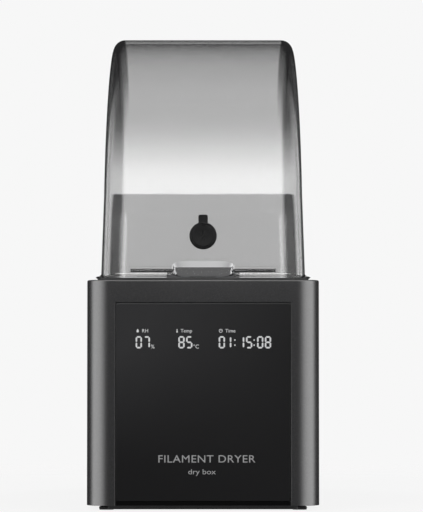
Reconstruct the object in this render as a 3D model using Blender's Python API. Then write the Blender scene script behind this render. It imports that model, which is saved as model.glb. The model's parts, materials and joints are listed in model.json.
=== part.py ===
"""Filament dryer box: a heated, sealed cabinet that dries and feeds one spool of 3-D printer filament.

Frame: +Z up, front towards -Y, origin at the bottom centre. Sizes below are in millimetres and
become metres when a piece is made. Every sub-part is its own object with its own material.
"""

import math

import bmesh
import bpy
from mathutils import Matrix, Vector

for old in list(bpy.data.objects):
    bpy.data.objects.remove(old, do_unlink=True)

# ---------------------------------------------------------------- driving dimensions, mm
MM = 0.001
GAP = 0.3

HALF_WIDTH = 57.0
HALF_DEPTH = 140.0
HEIGHT = 245.0

HOUSING_BOTTOM = 2.2
HOUSING_TOP = 112.4
COLUMN_RADIUS = 12.5
INNER_RADIUS = 6.0
SIDE_WALL = 2.4
END_WALL = 3.4
DECK = 2.8
DECK_OPENING_X = 44.0
DECK_OPENING_Y = 122.0
DECK_UNDER = HOUSING_TOP - DECK

PANEL_HALF_WIDTH = 42.6
PANEL_BOTTOM = 4.5
PANEL_TOP = 101.0
PANEL_THICK = 1.1
PANEL_SETBACK = 0.5
REBATE_DEPTH = 1.9

WINDOW_X = 38.0
WINDOW_Z = (58.0, 98.0)
HOOK_SLOT_X = 7.2
HOOK_SLOT_Y = (-135.6, -130.6)

REAR_OPENING_X = 46.0
REAR_OPENING_Z = (8.0, 104.0)
REAR_PLATE = (134.8, 136.3)

LID_BOTTOM = 113.7
LID_WALL = 2.0
LID_HALF_DEPTH = 137.2
LID_HALF_WIDTH = 49.93
LID_WIDTH_AT = 117.0
LID_DRAFT = 0.0336
LID_UPPER_DRAFT = 0.018
LID_SPRING_LINE = 154.0
LID_FILLET = 5.6
FLARE = 2.7
FLARE_TOP = 117.0
ARCH_STEPS = 26

SEAL_WIDTH = 2.0
SEAL_RADIUS = 8.5
SEAL_X = 51.4
SEAL_FRONT = -138.4
SEAL_REAR = 127.6
SEAL_TOP = 113.4
SEAL_BOTTOM = 111.5

SPOOL_CENTRE_Z = 138.0
TUB_RADIUS = 104.0
TUB_WALL = 1.6
TUB_HALF_WIDTH = 38.0
FLANGE_THICK = 2.0
FLANGE_X = 47.0
FLANGE_FRONT = -125.2
FLANGE_REAR = 124.8
FLANGE_TOP = DECK_UNDER - GAP

FLOOR = 4.4
PLINTH_X = 50.6
PLINTH_Y = 133.6
PLINTH_BOTTOM = 0.3
PLINTH_RADIUS = 8.0
FOOT_X = (43.5, 51.0)
FOOT_Y = (120.0, 132.0)
FOOT_HEIGHT = 1.3
FOOT_TAPER = 0.93

SOCKET_X = (4.0, 24.0)
SOCKET_WIDTH = 16.0
SOCKET_Z = (16.0, 26.0)
LOUVRES = 5
LOUVRE_PITCH = 3.6

ROLLER_Y = 54.5
ROLLER_Z = 43.6
TYRE_RADIUS = 9.0
TYRE_HUB = 5.0
TYRE_X = (26.0, 36.0)
SHAFT_RADIUS = 2.5
BEARING_RADIUS = 6.5
BEARING_X = (42.0, 46.0)

GEAR_MODULE = 1.0
ROLLER_TEETH = 20
PINION_TEETH = 10
MESH_PLAY = 0.15
GEAR_X = (-52.0, -48.0)
PINION_Z = ROLLER_Z - GEAR_MODULE * (ROLLER_TEETH + PINION_TEETH) / 2 - MESH_PLAY

FEED_X = 20.0
FEED_Y = -113.0
FEED_Z = 85.0
FEED_TEETH = 12
FEED_OFFSET = GEAR_MODULE * FEED_TEETH / 2 + MESH_PLAY / 2

BLOWER_Y = -22.0
IMPELLER_RADIUS = 18.5
IMPELLER_BLADES = 11

HINGE_Y = 135.6
HINGE_Z = 117.6
HINGE_RADIUS = 3.2
HINGE_PIN_RADIUS = 1.5
HINGE_LUG_X = (21.6, 28.2)
HINGE_LUG_Y = (132.3, 136.3)
HINGE_LEAF_X = 21.3
HINGE_LEAF_Y = (132.6, 134.9)
HINGE_LEAF_TOP = 126.0

LATCH_Y = -134.0
LATCH_Z = 117.0
LATCH_ROD_RADIUS = 0.7
LATCH_HALF_WIDTH = 14.8
BOSS_X = (15.6, 36.3)

PLUG_Z = 133.9
PLUG_RADIUS = 6.7
PLUG_STEM = 4.4

OUTLET_X = 30.0
OUTLET_Z = 86.0

FLAP_Y = 132.6
FLAP_Z = 100.0

# ---------------------------------------------------------------- finishes: colour, roughness, metallic
FINISHES = {
    "dark_shell": ((0.055, 0.055, 0.058), 0.42, 0.3),
    "black_glass": ((0.012, 0.012, 0.013), 0.12, 0.0),
    "smoke_clear": ((0.30, 0.30, 0.31), 0.08, 0.0),
    "grey_liner": ((0.10, 0.10, 0.105), 0.55, 0.0),
    "black_plastic": ((0.02, 0.02, 0.021), 0.5, 0.0),
    "rubber": ((0.015, 0.015, 0.015), 0.85, 0.0),
    "silver": ((0.62, 0.62, 0.63), 0.28, 1.0),
    "steel": ((0.48, 0.48, 0.5), 0.3, 1.0),
    "aluminium": ((0.70, 0.71, 0.72), 0.38, 1.0),
    "brass": ((0.66, 0.50, 0.22), 0.35, 1.0),
    "white_nylon": ((0.75, 0.74, 0.70), 0.5, 0.0),
    "green_board": ((0.02, 0.10, 0.05), 0.45, 0.0),
    "clear_tube": ((0.80, 0.80, 0.78), 0.3, 0.0),
}
materials = {}
for finish_name, (colour, rough, metal) in FINISHES.items():
    finish = bpy.data.materials.new(finish_name)
    finish.use_nodes = True
    shader = finish.node_tree.nodes["Principled BSDF"]
    shader.inputs["Base Color"].default_value = (*colour, 1.0)
    shader.inputs["Roughness"].default_value = rough
    shader.inputs["Metallic"].default_value = metal
    finish.diffuse_color = (*colour, 1.0)
    materials[finish_name] = finish

# ---------------------------------------------------------------- shape helpers, all in mm
TURN_TO = {
    "X": Matrix.Rotation(math.pi / 2, 4, "Y"),
    "Y": Matrix.Rotation(-math.pi / 2, 4, "X"),
    "Z": Matrix.Identity(4),
}


def at(axis, centre, along):
    """The point with these two cross coordinates and this one along the axis."""
    u, v = centre
    return {"X": Vector((along, u, v)), "Y": Vector((u, along, v)), "Z": Vector((u, v, along))}[axis]


def block(bm, x, y, z):
    """A box between two values on each axis."""
    spans = [(min(pair), max(pair)) for pair in (x, y, z)]
    middle = Vector([(low + high) / 2 for low, high in spans])
    size = [high - low for low, high in spans]
    place = Matrix.Translation(middle) @ Matrix.Diagonal((*size, 1.0))
    return bmesh.ops.create_cube(bm, size=1.0, matrix=place)["verts"]


def rod(bm, axis, centre, radius, start, end, sides=20):
    """A cylinder along an axis."""
    place = Matrix.Translation(at(axis, centre, (start + end) / 2)) @ TURN_TO[axis]
    return bmesh.ops.create_cone(
        bm,
        cap_ends=True,
        segments=sides,
        radius1=radius,
        radius2=radius,
        depth=end - start,
        matrix=place,
    )["verts"]


def turned(bm, axis, centre, profile, sides=24):
    """A closed profile of (radius, along) points spun fully round the axis."""
    made = [bm.verts.new((radius, 0.0, along)) for radius, along in profile]
    edges = [bm.edges.new((made[i], made[(i + 1) % len(made)])) for i in range(len(made))]
    spun = bmesh.ops.spin(
        bm,
        geom=made + edges,
        cent=(0, 0, 0),
        axis=(0, 0, 1),
        angle=2 * math.pi,
        steps=sides,
        use_merge=True,
    )
    found = set(made)
    for item in spun["geom_last"]:
        if isinstance(item, bmesh.types.BMVert):
            found.add(item)
    todo = list(found)
    while todo:
        for edge in todo.pop().link_edges:
            for vert in edge.verts:
                if vert not in found:
                    found.add(vert)
                    todo.append(vert)
    bmesh.ops.transform(
        bm, matrix=Matrix.Translation(at(axis, centre, 0.0)) @ TURN_TO[axis], verts=list(found)
    )


def ring(bm, axis, centre, inner, outer, start, end, sides=24):
    turned(bm, axis, centre, [(inner, start), (outer, start), (outer, end), (inner, end)], sides)


def prism(bm, axis, outline, start, end):
    """A flat outline of cross coordinates pushed along an axis."""
    corners = [bm.verts.new(at(axis, point, start)) for point in outline]
    face = bm.faces.new(corners)
    pushed = bmesh.ops.extrude_face_region(bm, geom=[face])["geom"]
    verts = [item for item in pushed if isinstance(item, bmesh.types.BMVert)]
    bmesh.ops.translate(bm, verts=verts, vec=at(axis, (0.0, 0.0), end - start))
    return corners + verts


def rounded(x, y, radius, steps=4):
    """The outline of a rectangle with round corners, anticlockwise."""
    points = []
    corners = ((x[1], y[1], 0), (x[0], y[1], 1), (x[0], y[0], 2), (x[1], y[0], 3))
    for corner_x, corner_y, quarter in corners:
        middle_x = corner_x - math.copysign(radius, corner_x - sum(x) / 2)
        middle_y = corner_y - math.copysign(radius, corner_y - sum(y) / 2)
        for step in range(steps + 1):
            angle = math.pi / 2 * (quarter + step / steps)
            points.append((middle_x + radius * math.cos(angle), middle_y + radius * math.sin(angle)))
    return points


def gear_outline(centre, teeth, phase):
    """Straight-sided teeth a little thinner than the gaps that they run in."""
    pitch_radius = GEAR_MODULE * teeth / 2
    root, tip = pitch_radius - 1.1 * GEAR_MODULE, pitch_radius + 0.8 * GEAR_MODULE
    points = []
    for tooth in range(teeth):
        for share, radius in ((-0.32, root), (-0.11, tip), (0.11, tip), (0.32, root)):
            angle = phase + 2 * math.pi * (tooth + share) / teeth
            points.append((centre[0] + radius * math.cos(angle), centre[1] + radius * math.sin(angle)))
    return points


def arc_points(centre, radius, first, last, steps):
    """Points on an arc, angles in degrees from the first cross coordinate."""
    points = []
    for step in range(steps + 1):
        angle = math.radians(first + (last - first) * step / steps)
        points.append((centre[0] + radius * math.cos(angle), centre[1] + radius * math.sin(angle)))
    return points


def smooth_route(points, per_span):
    """A smooth curve through the points, each span split evenly."""
    knots = [Vector(point) for point in points]
    ends = [2 * knots[0] - knots[1], *knots, 2 * knots[-1] - knots[-2]]
    route = []
    for before, start, stop, after in zip(ends, ends[1:], ends[2:], ends[3:]):
        for step in range(per_span):
            t = step / per_span
            route.append(
                0.5
                * (
                    2 * start
                    + (stop - before) * t
                    + (2 * before - 5 * start + 4 * stop - after) * t**2
                    + (3 * start - before - 3 * stop + after) * t**3
                )
            )
    return [*route, knots[-1]]


# ---------------------------------------------------------------- making objects
def make(name, bm, finish, pivot=(0, 0, 0)):
    """Turns the mesh into an object whose origin is at pivot, which is on its joint's axis if it moves."""
    bmesh.ops.recalc_face_normals(bm, faces=bm.faces)
    bmesh.ops.translate(bm, verts=bm.verts, vec=-Vector(pivot))
    bmesh.ops.scale(bm, verts=bm.verts, vec=(MM, MM, MM))
    mesh = bpy.data.meshes.new(name)
    bm.to_mesh(mesh)
    bm.free()
    mesh.shade_smooth()
    mesh.set_sharp_from_angle(angle=math.radians(35))
    made = bpy.data.objects.new(name, mesh)
    made.location = Vector(pivot) * MM
    mesh.materials.append(materials[finish])
    bpy.context.collection.objects.link(made)
    return made


def combine(target, operation, bm):
    """Adds a Boolean of this kind, with the mesh as its hidden helper."""
    order = len(target.modifiers) + 1
    helper = make(f"{target.name}_helper_{order}", bm, "black_plastic")
    helper.hide_render = True
    helper.display_type = "WIRE"
    step = target.modifiers.new(f"{operation.lower()}_{order}", "BOOLEAN")
    step.operation = operation
    step.solver = "EXACT"
    step.object = helper


def cut(target, bm):
    combine(target, "DIFFERENCE", bm)


def fuse(target, bm):
    combine(target, "UNION", bm)


# ---------------------------------------------------------------- casing
def outer_housing():
    bm = bmesh.new()
    outline = rounded((-HALF_WIDTH, HALF_WIDTH), (-HALF_DEPTH, HALF_DEPTH), COLUMN_RADIUS, 8)
    prism(bm, "Z", outline, HOUSING_BOTTOM, HOUSING_TOP)
    housing = make("outer_housing", bm, "dark_shell")

    inside_x = HALF_WIDTH - SIDE_WALL
    inside_y = HALF_DEPTH - END_WALL
    hollow = bmesh.new()
    outline = rounded((-inside_x, inside_x), (-inside_y, inside_y), INNER_RADIUS, 4)
    prism(hollow, "Z", outline, -1.0, DECK_UNDER)
    cut(housing, hollow)

    deck_opening = bmesh.new()
    span_x, span_y = (-DECK_OPENING_X, DECK_OPENING_X), (-DECK_OPENING_Y, DECK_OPENING_Y)
    prism(deck_opening, "Z", rounded(span_x, span_y, INNER_RADIUS, 3), DECK_UNDER - 2, HOUSING_TOP + 2)
    cut(housing, deck_opening)

    groove = bmesh.new()
    seal_loop(groove, SEAL_BOTTOM - GAP, HOUSING_TOP + 1, GAP)
    cut(housing, groove)

    rebate = bmesh.new()
    edge = PANEL_HALF_WIDTH + GAP
    front = -HALF_DEPTH
    block(rebate, (-edge, edge), (front - 1, front + REBATE_DEPTH), (0.0, PANEL_TOP + GAP))
    cut(housing, rebate)

    openings = bmesh.new()
    through_deck = (DECK_UNDER - 1, HOUSING_TOP + 1)
    block(openings, (-WINDOW_X, WINDOW_X), (front - 1, front + END_WALL + 1), WINDOW_Z)
    block(openings, (-REAR_OPENING_X, REAR_OPENING_X), (-front - END_WALL - 1, -front + 1), REAR_OPENING_Z)
    block(openings, (-HOOK_SLOT_X, HOOK_SLOT_X), HOOK_SLOT_Y, through_deck)
    for side in (-1, 1):
        lug_x = (side * (HINGE_LUG_X[0] - GAP), side * (HINGE_LUG_X[1] + GAP))
        block(openings, lug_x, (HINGE_LUG_Y[0] - 0.4, HALF_DEPTH - END_WALL), through_deck)
    cut(housing, openings)


def seal_loop(bm, bottom, top, spread):
    """A band that follows the lid's rim, wider than the seal by spread on each side."""
    rings = []
    for inset in (-spread, SEAL_WIDTH + spread):
        x, front, rear = SEAL_X - inset, SEAL_FRONT + inset, SEAL_REAR - inset
        rings.append(rounded((-x, x), (front, rear), SEAL_RADIUS - inset, 4))
    outer, inner = rings
    loops = []
    for outline, height in ((outer, bottom), (outer, top), (inner, top), (inner, bottom)):
        loops.append([bm.verts.new((x, y, height)) for x, y in outline])
    for low, high in zip(loops, loops[1:] + loops[:1]):
        for i in range(len(low)):
            j = (i + 1) % len(low)
            bm.faces.new((low[i], low[j], high[j], high[i]))


def rim_seal():
    bm = bmesh.new()
    seal_loop(bm, SEAL_BOTTOM, SEAL_TOP, 0.0)
    make("rim_seal", bm, "rubber")


def inner_liner():
    bm = bmesh.new()
    block(bm, (-FLANGE_X, FLANGE_X), (FLANGE_FRONT, FLANGE_REAR), (FLANGE_TOP - FLANGE_THICK, FLANGE_TOP))
    liner = make("inner_liner", bm, "grey_liner")

    def tub(radius, half_width, top):
        mesh = bmesh.new()
        rise = math.degrees(math.asin((SPOOL_CENTRE_Z - FLANGE_TOP) / radius))
        curve = arc_points((0.0, SPOOL_CENTRE_Z), radius, 180 + rise, 360 - rise, 28)
        prism(mesh, "X", [(curve[0][0], top), *curve, (curve[-1][0], top)], -half_width, half_width)
        return mesh

    fuse(liner, tub(TUB_RADIUS + TUB_WALL, TUB_HALF_WIDTH + TUB_WALL, FLANGE_TOP - 0.4))
    pocket = bmesh.new()
    pocket_x, pocket_y, pocket_bottom = (-40.0, -2.0), (-121.0, -104.5), 62.0
    block(pocket, pocket_x, pocket_y, (pocket_bottom, FLANGE_TOP - 0.4))
    fuse(liner, pocket)
    cut(liner, tub(TUB_RADIUS, TUB_HALF_WIDTH, FLANGE_TOP + 2))

    holes = bmesh.new()
    inside_x = (pocket_x[0] + TUB_WALL, pocket_x[1] - TUB_WALL)
    inside_y = (pocket_y[0] + TUB_WALL, pocket_y[1] - TUB_WALL)
    block(holes, inside_x, inside_y, (pocket_bottom + TUB_WALL, FLANGE_TOP + 2))
    funnel_hole = 7.0
    rod(holes, "Z", (FEED_X, FEED_Y), funnel_hole, FLANGE_TOP - 4, FLANGE_TOP + 2)
    slot_reach, slot_z, side_room = 13.0, (35.0, 66.0), 0.6
    for side in (-1, 1):
        for end in (-1, 1):
            slot_y = (end * (ROLLER_Y - slot_reach), end * (ROLLER_Y + slot_reach))
            slot_x = (side * (TYRE_X[0] - side_room), side * (TYRE_X[1] + side_room))
            block(holes, slot_x, slot_y, slot_z)
    vent_pitch, vent_half_width, vent_z = 8.0, 2.0, (30.0, 44.0)
    for column in range(-2, 3):
        vent_x = (column * vent_pitch - vent_half_width, column * vent_pitch + vent_half_width)
        for vent_y in ((-36.0, -8.0), (14.0, 38.0)):
            block(holes, vent_x, vent_y, vent_z)
    cut(liner, holes)


def bottom_cover():
    bm = bmesh.new()
    plinth = rounded((-PLINTH_X, PLINTH_X), (-PLINTH_Y, PLINTH_Y), PLINTH_RADIUS, 4)
    prism(bm, "Z", plinth, PLINTH_BOTTOM, FLOOR)
    cover = make("bottom_cover", bm, "black_plastic")

    rim = bmesh.new()
    edge_x, edge_y = HALF_WIDTH - SIDE_WALL - GAP, HALF_DEPTH - END_WALL - GAP
    rim_radius = 9.5
    rim_outline = rounded((-edge_x, edge_x), (-edge_y, edge_y), rim_radius, 4)
    prism(rim, "Z", rim_outline, HOUSING_BOTTOM + 0.2, FLOOR)
    fuse(cover, rim)

    stands = bmesh.new()
    sunk = FLOOR - 1
    post_x, post_reach, post_top = (41.5, 46.5), 10.0, ROLLER_Z + 9.5
    for side in (-1, 1):
        for end in (-1, 1):
            post_y = (end * (ROLLER_Y - post_reach), end * (ROLLER_Y + post_reach))
            block(stands, (side * post_x[0], side * post_x[1]), post_y, (sunk, post_top))
    motor_stand_x, motor_stand_y = (-38.0, -22.0), (-59.0, -50.0)
    block(stands, motor_stand_x, motor_stand_y, (sunk, PINION_Z - 5.4))
    board_stand_radius, board_stand_top = 2.5, 7.7
    for x in (-26, 34):
        for y in (-124, -74):
            rod(stands, "Z", (x, y), board_stand_radius, sunk, board_stand_top, 10)
    fuse(cover, stands)

    holes = bmesh.new()
    through_post = (post_x[0] - 1.5, post_x[1] + 1.5)
    for end in (-1, 1):
        for side in (-1, 1):
            start, stop = sorted((side * through_post[0], side * through_post[1]))
            rod(holes, "X", (end * ROLLER_Y, ROLLER_Z), BEARING_RADIUS + GAP, start, stop, 24)
    pinion_hole = 2.0
    rod(holes, "X", (-ROLLER_Y, PINION_Z), pinion_hole, -through_post[1], -through_post[0], 12)
    vent_x, vent_start, vent_pitch, vent_width = 16.0, -40.0, 7.0, 3.0
    for row in range(6):
        vent_y = vent_start + vent_pitch * row
        block(holes, (-vent_x, vent_x), (vent_y, vent_y + vent_width), (-1, FLOOR + 1))
    for side in (-1, 1):
        for end in (-1, 1):
            foot_x = (side * (FOOT_X[0] - GAP), side * (FOOT_X[1] + 1))
            foot_y = (end * (FOOT_Y[0] - GAP), end * (FOOT_Y[1] + GAP))
            block(holes, foot_x, foot_y, (0.0, FOOT_HEIGHT + GAP))
    cut(cover, holes)


def rubber_feet():
    for side, across in ((-1, "left"), (1, "right")):
        for end, along in ((-1, "front"), (1, "rear")):
            bm = bmesh.new()
            x = sorted((side * FOOT_X[0], side * FOOT_X[1]))
            y = sorted((end * FOOT_Y[0], end * FOOT_Y[1]))
            pad = prism(bm, "Z", rounded(x, y, 2.0, 3), 0.0, FOOT_HEIGHT)
            middle = Vector((sum(x) / 2, sum(y) / 2, 0.0))
            for vert in pad:
                if vert.co.z < FOOT_HEIGHT / 2:
                    vert.co = middle + (vert.co - middle) * FOOT_TAPER
            make(f"rubber_foot_{along}_{across}", bm, "rubber")


def display_panel():
    bm = bmesh.new()
    front = -HALF_DEPTH + PANEL_SETBACK
    outline = rounded((-PANEL_HALF_WIDTH, PANEL_HALF_WIDTH), (PANEL_BOTTOM, PANEL_TOP), 1.2, 2)
    prism(bm, "Y", outline, front, front + PANEL_THICK)
    make("display_panel", bm, "black_glass")


def display_board():
    bm = bmesh.new()
    block(bm, (-36, 36), (-134.8, -133.2), (60, 97))
    board = make("display_board", bm, "green_board")
    parts = bmesh.new()
    block(parts, (-34, 34), (-136.2, -134.7), (74, 92))
    block(parts, (-9, 9), (-133.3, -132.4), (64, 70))
    fuse(board, parts)


def display_cable():
    bm = bmesh.new()
    outer = [(-124, 13.0), (-129, 13.0), (-131.8, 17), (-131.8, 60)]
    inner = [(-131.0, 60), (-131.0, 17.3), (-128.6, 13.9), (-124, 13.9)]
    prism(bm, "X", outer + inner, -8, 8)
    make("display_cable", bm, "clear_tube")


# ---------------------------------------------------------------- rear
def rear_panel():
    bm = bmesh.new()
    prism(bm, "Y", rounded((-49, 49), (5.5, 106.3), 3.0, 3), *REAR_PLATE)
    panel = make("rear_panel", bm, "black_plastic")
    lugs = bmesh.new()
    for x in ((-38.3, -36.3), (4.3, 6.3)):
        block(lugs, x, (FLAP_Y - 2.6, REAR_PLATE[0] + 0.3), (FLAP_Z - 3.5, FLAP_Z + 3.5))
    fuse(panel, lugs)
    holes = bmesh.new()
    block(holes, (-39.3, -18.7), (130, 140), (16.7, 31.3))
    for x in SOCKET_X:
        socket_x = (x - GAP, x + SOCKET_WIDTH + GAP)
        block(holes, socket_x, (130, 140), (SOCKET_Z[0] - GAP, SOCKET_Z[1] + GAP))
    rod(holes, "Y", (OUTLET_X, OUTLET_Z), 5.3, 130, 140, 20)
    louvre_x, louvre_start, louvre_height = (-32.0, 0.0), 80.0, 2.0
    for row in range(LOUVRES):
        z = louvre_start + LOUVRE_PITCH * row
        block(holes, louvre_x, (134.0, 140), (z, z + louvre_height))
    axle_hole = 1.3
    for start, stop in ((-39.0, -35.9), (3.9, 7.0)):
        rod(holes, "X", (FLAP_Y, FLAP_Z), axle_hole, start, stop, 12)
    cut(panel, holes)


def power_inlet():
    bm = bmesh.new()
    prism(bm, "Y", rounded((-42, -16), (14, 34), 2.0, 2), 136.6, 138.2)
    inlet = make("power_inlet", bm, "black_plastic")
    body = bmesh.new()
    block(body, (-39, -19), (118, 137), (17, 31))
    fuse(inlet, body)
    socket = bmesh.new()
    prism(socket, "Y", rounded((-36.5, -21.5), (19.5, 28.5), 3.0, 3), 123, 140)
    cut(inlet, socket)
    blades = bmesh.new()
    for x in (-33, -25):
        rod(blades, "Y", (x, 24), 1.2, 122, 136, 10)
    fuse(inlet, blades)


def signal_ports():
    wall, pin_pitch, pin_size = 1.6, 2.6, 0.8
    for name, x in zip(("signal_port_left", "signal_port_right"), SOCKET_X):
        bm = bmesh.new()
        block(bm, (x, x + SOCKET_WIDTH), (122, 138), SOCKET_Z)
        port = make(name, bm, "black_plastic")
        socket = bmesh.new()
        socket_z = (SOCKET_Z[0] + wall, SOCKET_Z[1] - wall)
        block(socket, (x + wall, x + SOCKET_WIDTH - wall), (127, 140), socket_z)
        cut(port, socket)
        pins = bmesh.new()
        for pin in range(4):
            pin_x = x + 3.4 + pin_pitch * pin
            block(pins, (pin_x, pin_x + pin_size), (126.5, 132.0), (20.6, 20.6 + pin_size))
        fuse(port, pins)


def outlet_coupler():
    bm = bmesh.new()
    profile = [(2.3, 124.0), (5.0, 124.0), (5.0, 136.6), (7.5, 136.6), (7.5, 137.6)]
    profile += [(3.8, 137.6), (3.8, 132.0), (2.3, 132.0)]
    turned(bm, "Y", (OUTLET_X, OUTLET_Z), profile, 18)
    make("outlet_coupler", bm, "black_plastic")
    bm = bmesh.new()
    profile = [(2.1, 133.6), (3.4, 133.6), (3.4, 138.9), (4.8, 138.9), (4.8, 139.8), (2.1, 139.8)]
    turned(bm, "Y", (OUTLET_X, OUTLET_Z), profile, 18)
    make("outlet_collet", bm, "white_nylon", (OUTLET_X, 136.0, OUTLET_Z))


def exhaust_flap():
    bm = bmesh.new()
    block(bm, (-33.8, 1.8), (FLAP_Y - 0.8, FLAP_Y + 0.8), (78, FLAP_Z - 0.5))
    flap = make("exhaust_flap", bm, "black_plastic", (-16, FLAP_Y, FLAP_Z))
    axle = bmesh.new()
    rod(axle, "X", (FLAP_Y, FLAP_Z), 1.0, -38.0, 6.0, 12)
    fuse(flap, axle)
    bm = bmesh.new()
    block(bm, (6.9, 22.0), (125.8, 134.2), (92.5, 105.5))
    motor = make("flap_motor", bm, "black_plastic")
    boss = bmesh.new()
    block(boss, (21.5, 24.0), (127.5, 132.5), (95, 103))
    fuse(motor, boss)


# ---------------------------------------------------------------- warm air
def blower():
    bm = bmesh.new()
    rod(bm, "Z", (0.0, BLOWER_Y), 24.0, FLOOR + GAP, 23.4, 28)
    housing = make("blower_housing", bm, "black_plastic")
    duct = bmesh.new()
    block(duct, (2, 23.5), (BLOWER_Y, 9.6), (FLOOR + GAP, 23.4))
    fuse(housing, duct)
    hollow = bmesh.new()
    rod(hollow, "Z", (0.0, BLOWER_Y), 22.4, 6.4, 21.8, 28)
    cut(housing, hollow)
    hollow = bmesh.new()
    block(hollow, (3.6, 21.9), (BLOWER_Y + 2, 11.0), (6.4, 21.8))
    cut(housing, hollow)
    inlet = bmesh.new()
    rod(inlet, "Z", (0.0, BLOWER_Y), 14.0, 20, 25, 28)
    cut(housing, inlet)

    bm = bmesh.new()
    rod(bm, "Z", (0.0, BLOWER_Y), 7.0, 6.7, 16.6, 20)
    make("blower_motor", bm, "steel")

    bm = bmesh.new()
    profile = [(7.6, 8.2), (IMPELLER_RADIUS, 8.2), (IMPELLER_RADIUS, 9.2), (9.2, 9.2)]
    profile += [(9.2, 18.6), (1.0, 18.6), (1.0, 17.2), (7.6, 17.2)]
    turned(bm, "Z", (0.0, BLOWER_Y), profile, 22)
    impeller = make("blower_impeller", bm, "black_plastic", (0.0, BLOWER_Y, 12.0))
    blades = bmesh.new()
    for blade in range(IMPELLER_BLADES):
        verts = block(blades, (8.6, IMPELLER_RADIUS - 0.2), (-0.5, 0.5), (8.9, 18.2))
        turn = Matrix.Rotation(2 * math.pi * blade / IMPELLER_BLADES, 4, "Z")
        place = Matrix.Translation((0.0, BLOWER_Y, 0.0)) @ turn
        bmesh.ops.transform(blades, matrix=place, verts=verts)
    fuse(impeller, blades)


def heater_block():
    bm = bmesh.new()
    block(bm, (-25, 25), (12, 46), (FLOOR + GAP, 8))
    heater = make("heater_block", bm, "aluminium")
    fins = bmesh.new()
    fin_pitch, fin_thick, fin_y, fin_z = 5.8, 1.6, (13.0, 45.0), (7.0, 23.5)
    for fin in range(9):
        fin_x = -24.0 + fin * fin_pitch
        block(fins, (fin_x, fin_x + fin_thick), fin_y, fin_z)
    fuse(heater, fins)


def air_duct():
    bm = bmesh.new()
    prism(bm, "Z", rounded((-26.5, 26.5), (10.6, 47.4), 2.0, 2), 24.0, 32.6)
    duct = make("air_duct", bm, "black_plastic")
    hollow = bmesh.new()
    prism(hollow, "Z", rounded((-24.8, 24.8), (12.2, 45.8), 1.0, 2), 23.0, 34.0)
    cut(duct, hollow)


# ---------------------------------------------------------------- spool drive
def rollers():
    for end, name, left_end in ((-1, "front", -52.4), (1, "rear", -47.4)):
        centre = (end * ROLLER_Y, ROLLER_Z)
        hub_low, hub_high = TYRE_X[0], TYRE_X[1]
        steps = [(left_end, SHAFT_RADIUS), (-hub_high, SHAFT_RADIUS), (-hub_high, TYRE_HUB)]
        steps += [(-hub_low, TYRE_HUB), (-hub_low, SHAFT_RADIUS), (hub_low, SHAFT_RADIUS)]
        steps += [(hub_low, TYRE_HUB), (hub_high, TYRE_HUB), (hub_high, SHAFT_RADIUS)]
        steps += [(47.4, SHAFT_RADIUS)]
        bore = [(47.4, 0.6), (left_end, 0.6)]
        bm = bmesh.new()
        turned(bm, "X", centre, [(radius, along) for along, radius in steps + bore], 14)
        make(f"{name}_roller_shaft", bm, "steel", (0.0, *centre))
        for side, across in ((-1, "left"), (1, "right")):
            low, high = sorted((side * hub_low, side * hub_high))
            bm = bmesh.new()
            profile = [(TYRE_HUB + GAP, low), (TYRE_RADIUS - 0.8, low), (TYRE_RADIUS, low + 0.8)]
            profile += [(TYRE_RADIUS, high - 0.8), (TYRE_RADIUS - 0.8, high), (TYRE_HUB + GAP, high)]
            turned(bm, "X", centre, profile, 24)
            make(f"{name}_tyre_{across}", bm, "rubber", (0.0, *centre))
            bm = bmesh.new()
            low, high = sorted((side * BEARING_X[0], side * BEARING_X[1]))
            ring(bm, "X", centre, SHAFT_RADIUS + GAP, BEARING_RADIUS, low, high, 18)
            make(f"{name}_bearing_{across}", bm, "steel")


def roller_drive():
    front = (-ROLLER_Y, ROLLER_Z)
    bm = bmesh.new()
    prism(bm, "X", gear_outline(front, ROLLER_TEETH, -math.pi / 2), *GEAR_X)
    gear = make("roller_gear", bm, "white_nylon", (GEAR_X[0], *front))
    bore = bmesh.new()
    rod(bore, "X", front, SHAFT_RADIUS + GAP, GEAR_X[0] - 1, GEAR_X[1] + 1, 20)
    cut(gear, bore)

    below = (-ROLLER_Y, PINION_Z)
    phase = math.pi / 2 + math.pi / PINION_TEETH
    bm = bmesh.new()
    prism(bm, "X", gear_outline(below, PINION_TEETH, phase), GEAR_X[0] - 0.3, GEAR_X[1] + 0.3)
    pinion = make("roller_pinion", bm, "brass", (GEAR_X[0], *below))
    axle = bmesh.new()
    rod(axle, "X", below, 1.5, GEAR_X[1] - 1, -41.3, 12)
    fuse(pinion, axle)

    bm = bmesh.new()
    block(bm, (-41, -17), (-60.5, -48.5), (PINION_Z - 5, PINION_Z + 5))
    motor = make("roller_motor", bm, "steel")
    tail = bmesh.new()
    rod(tail, "X", below, 4.0, -17.5, -14.5, 16)
    fuse(motor, tail)


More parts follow.
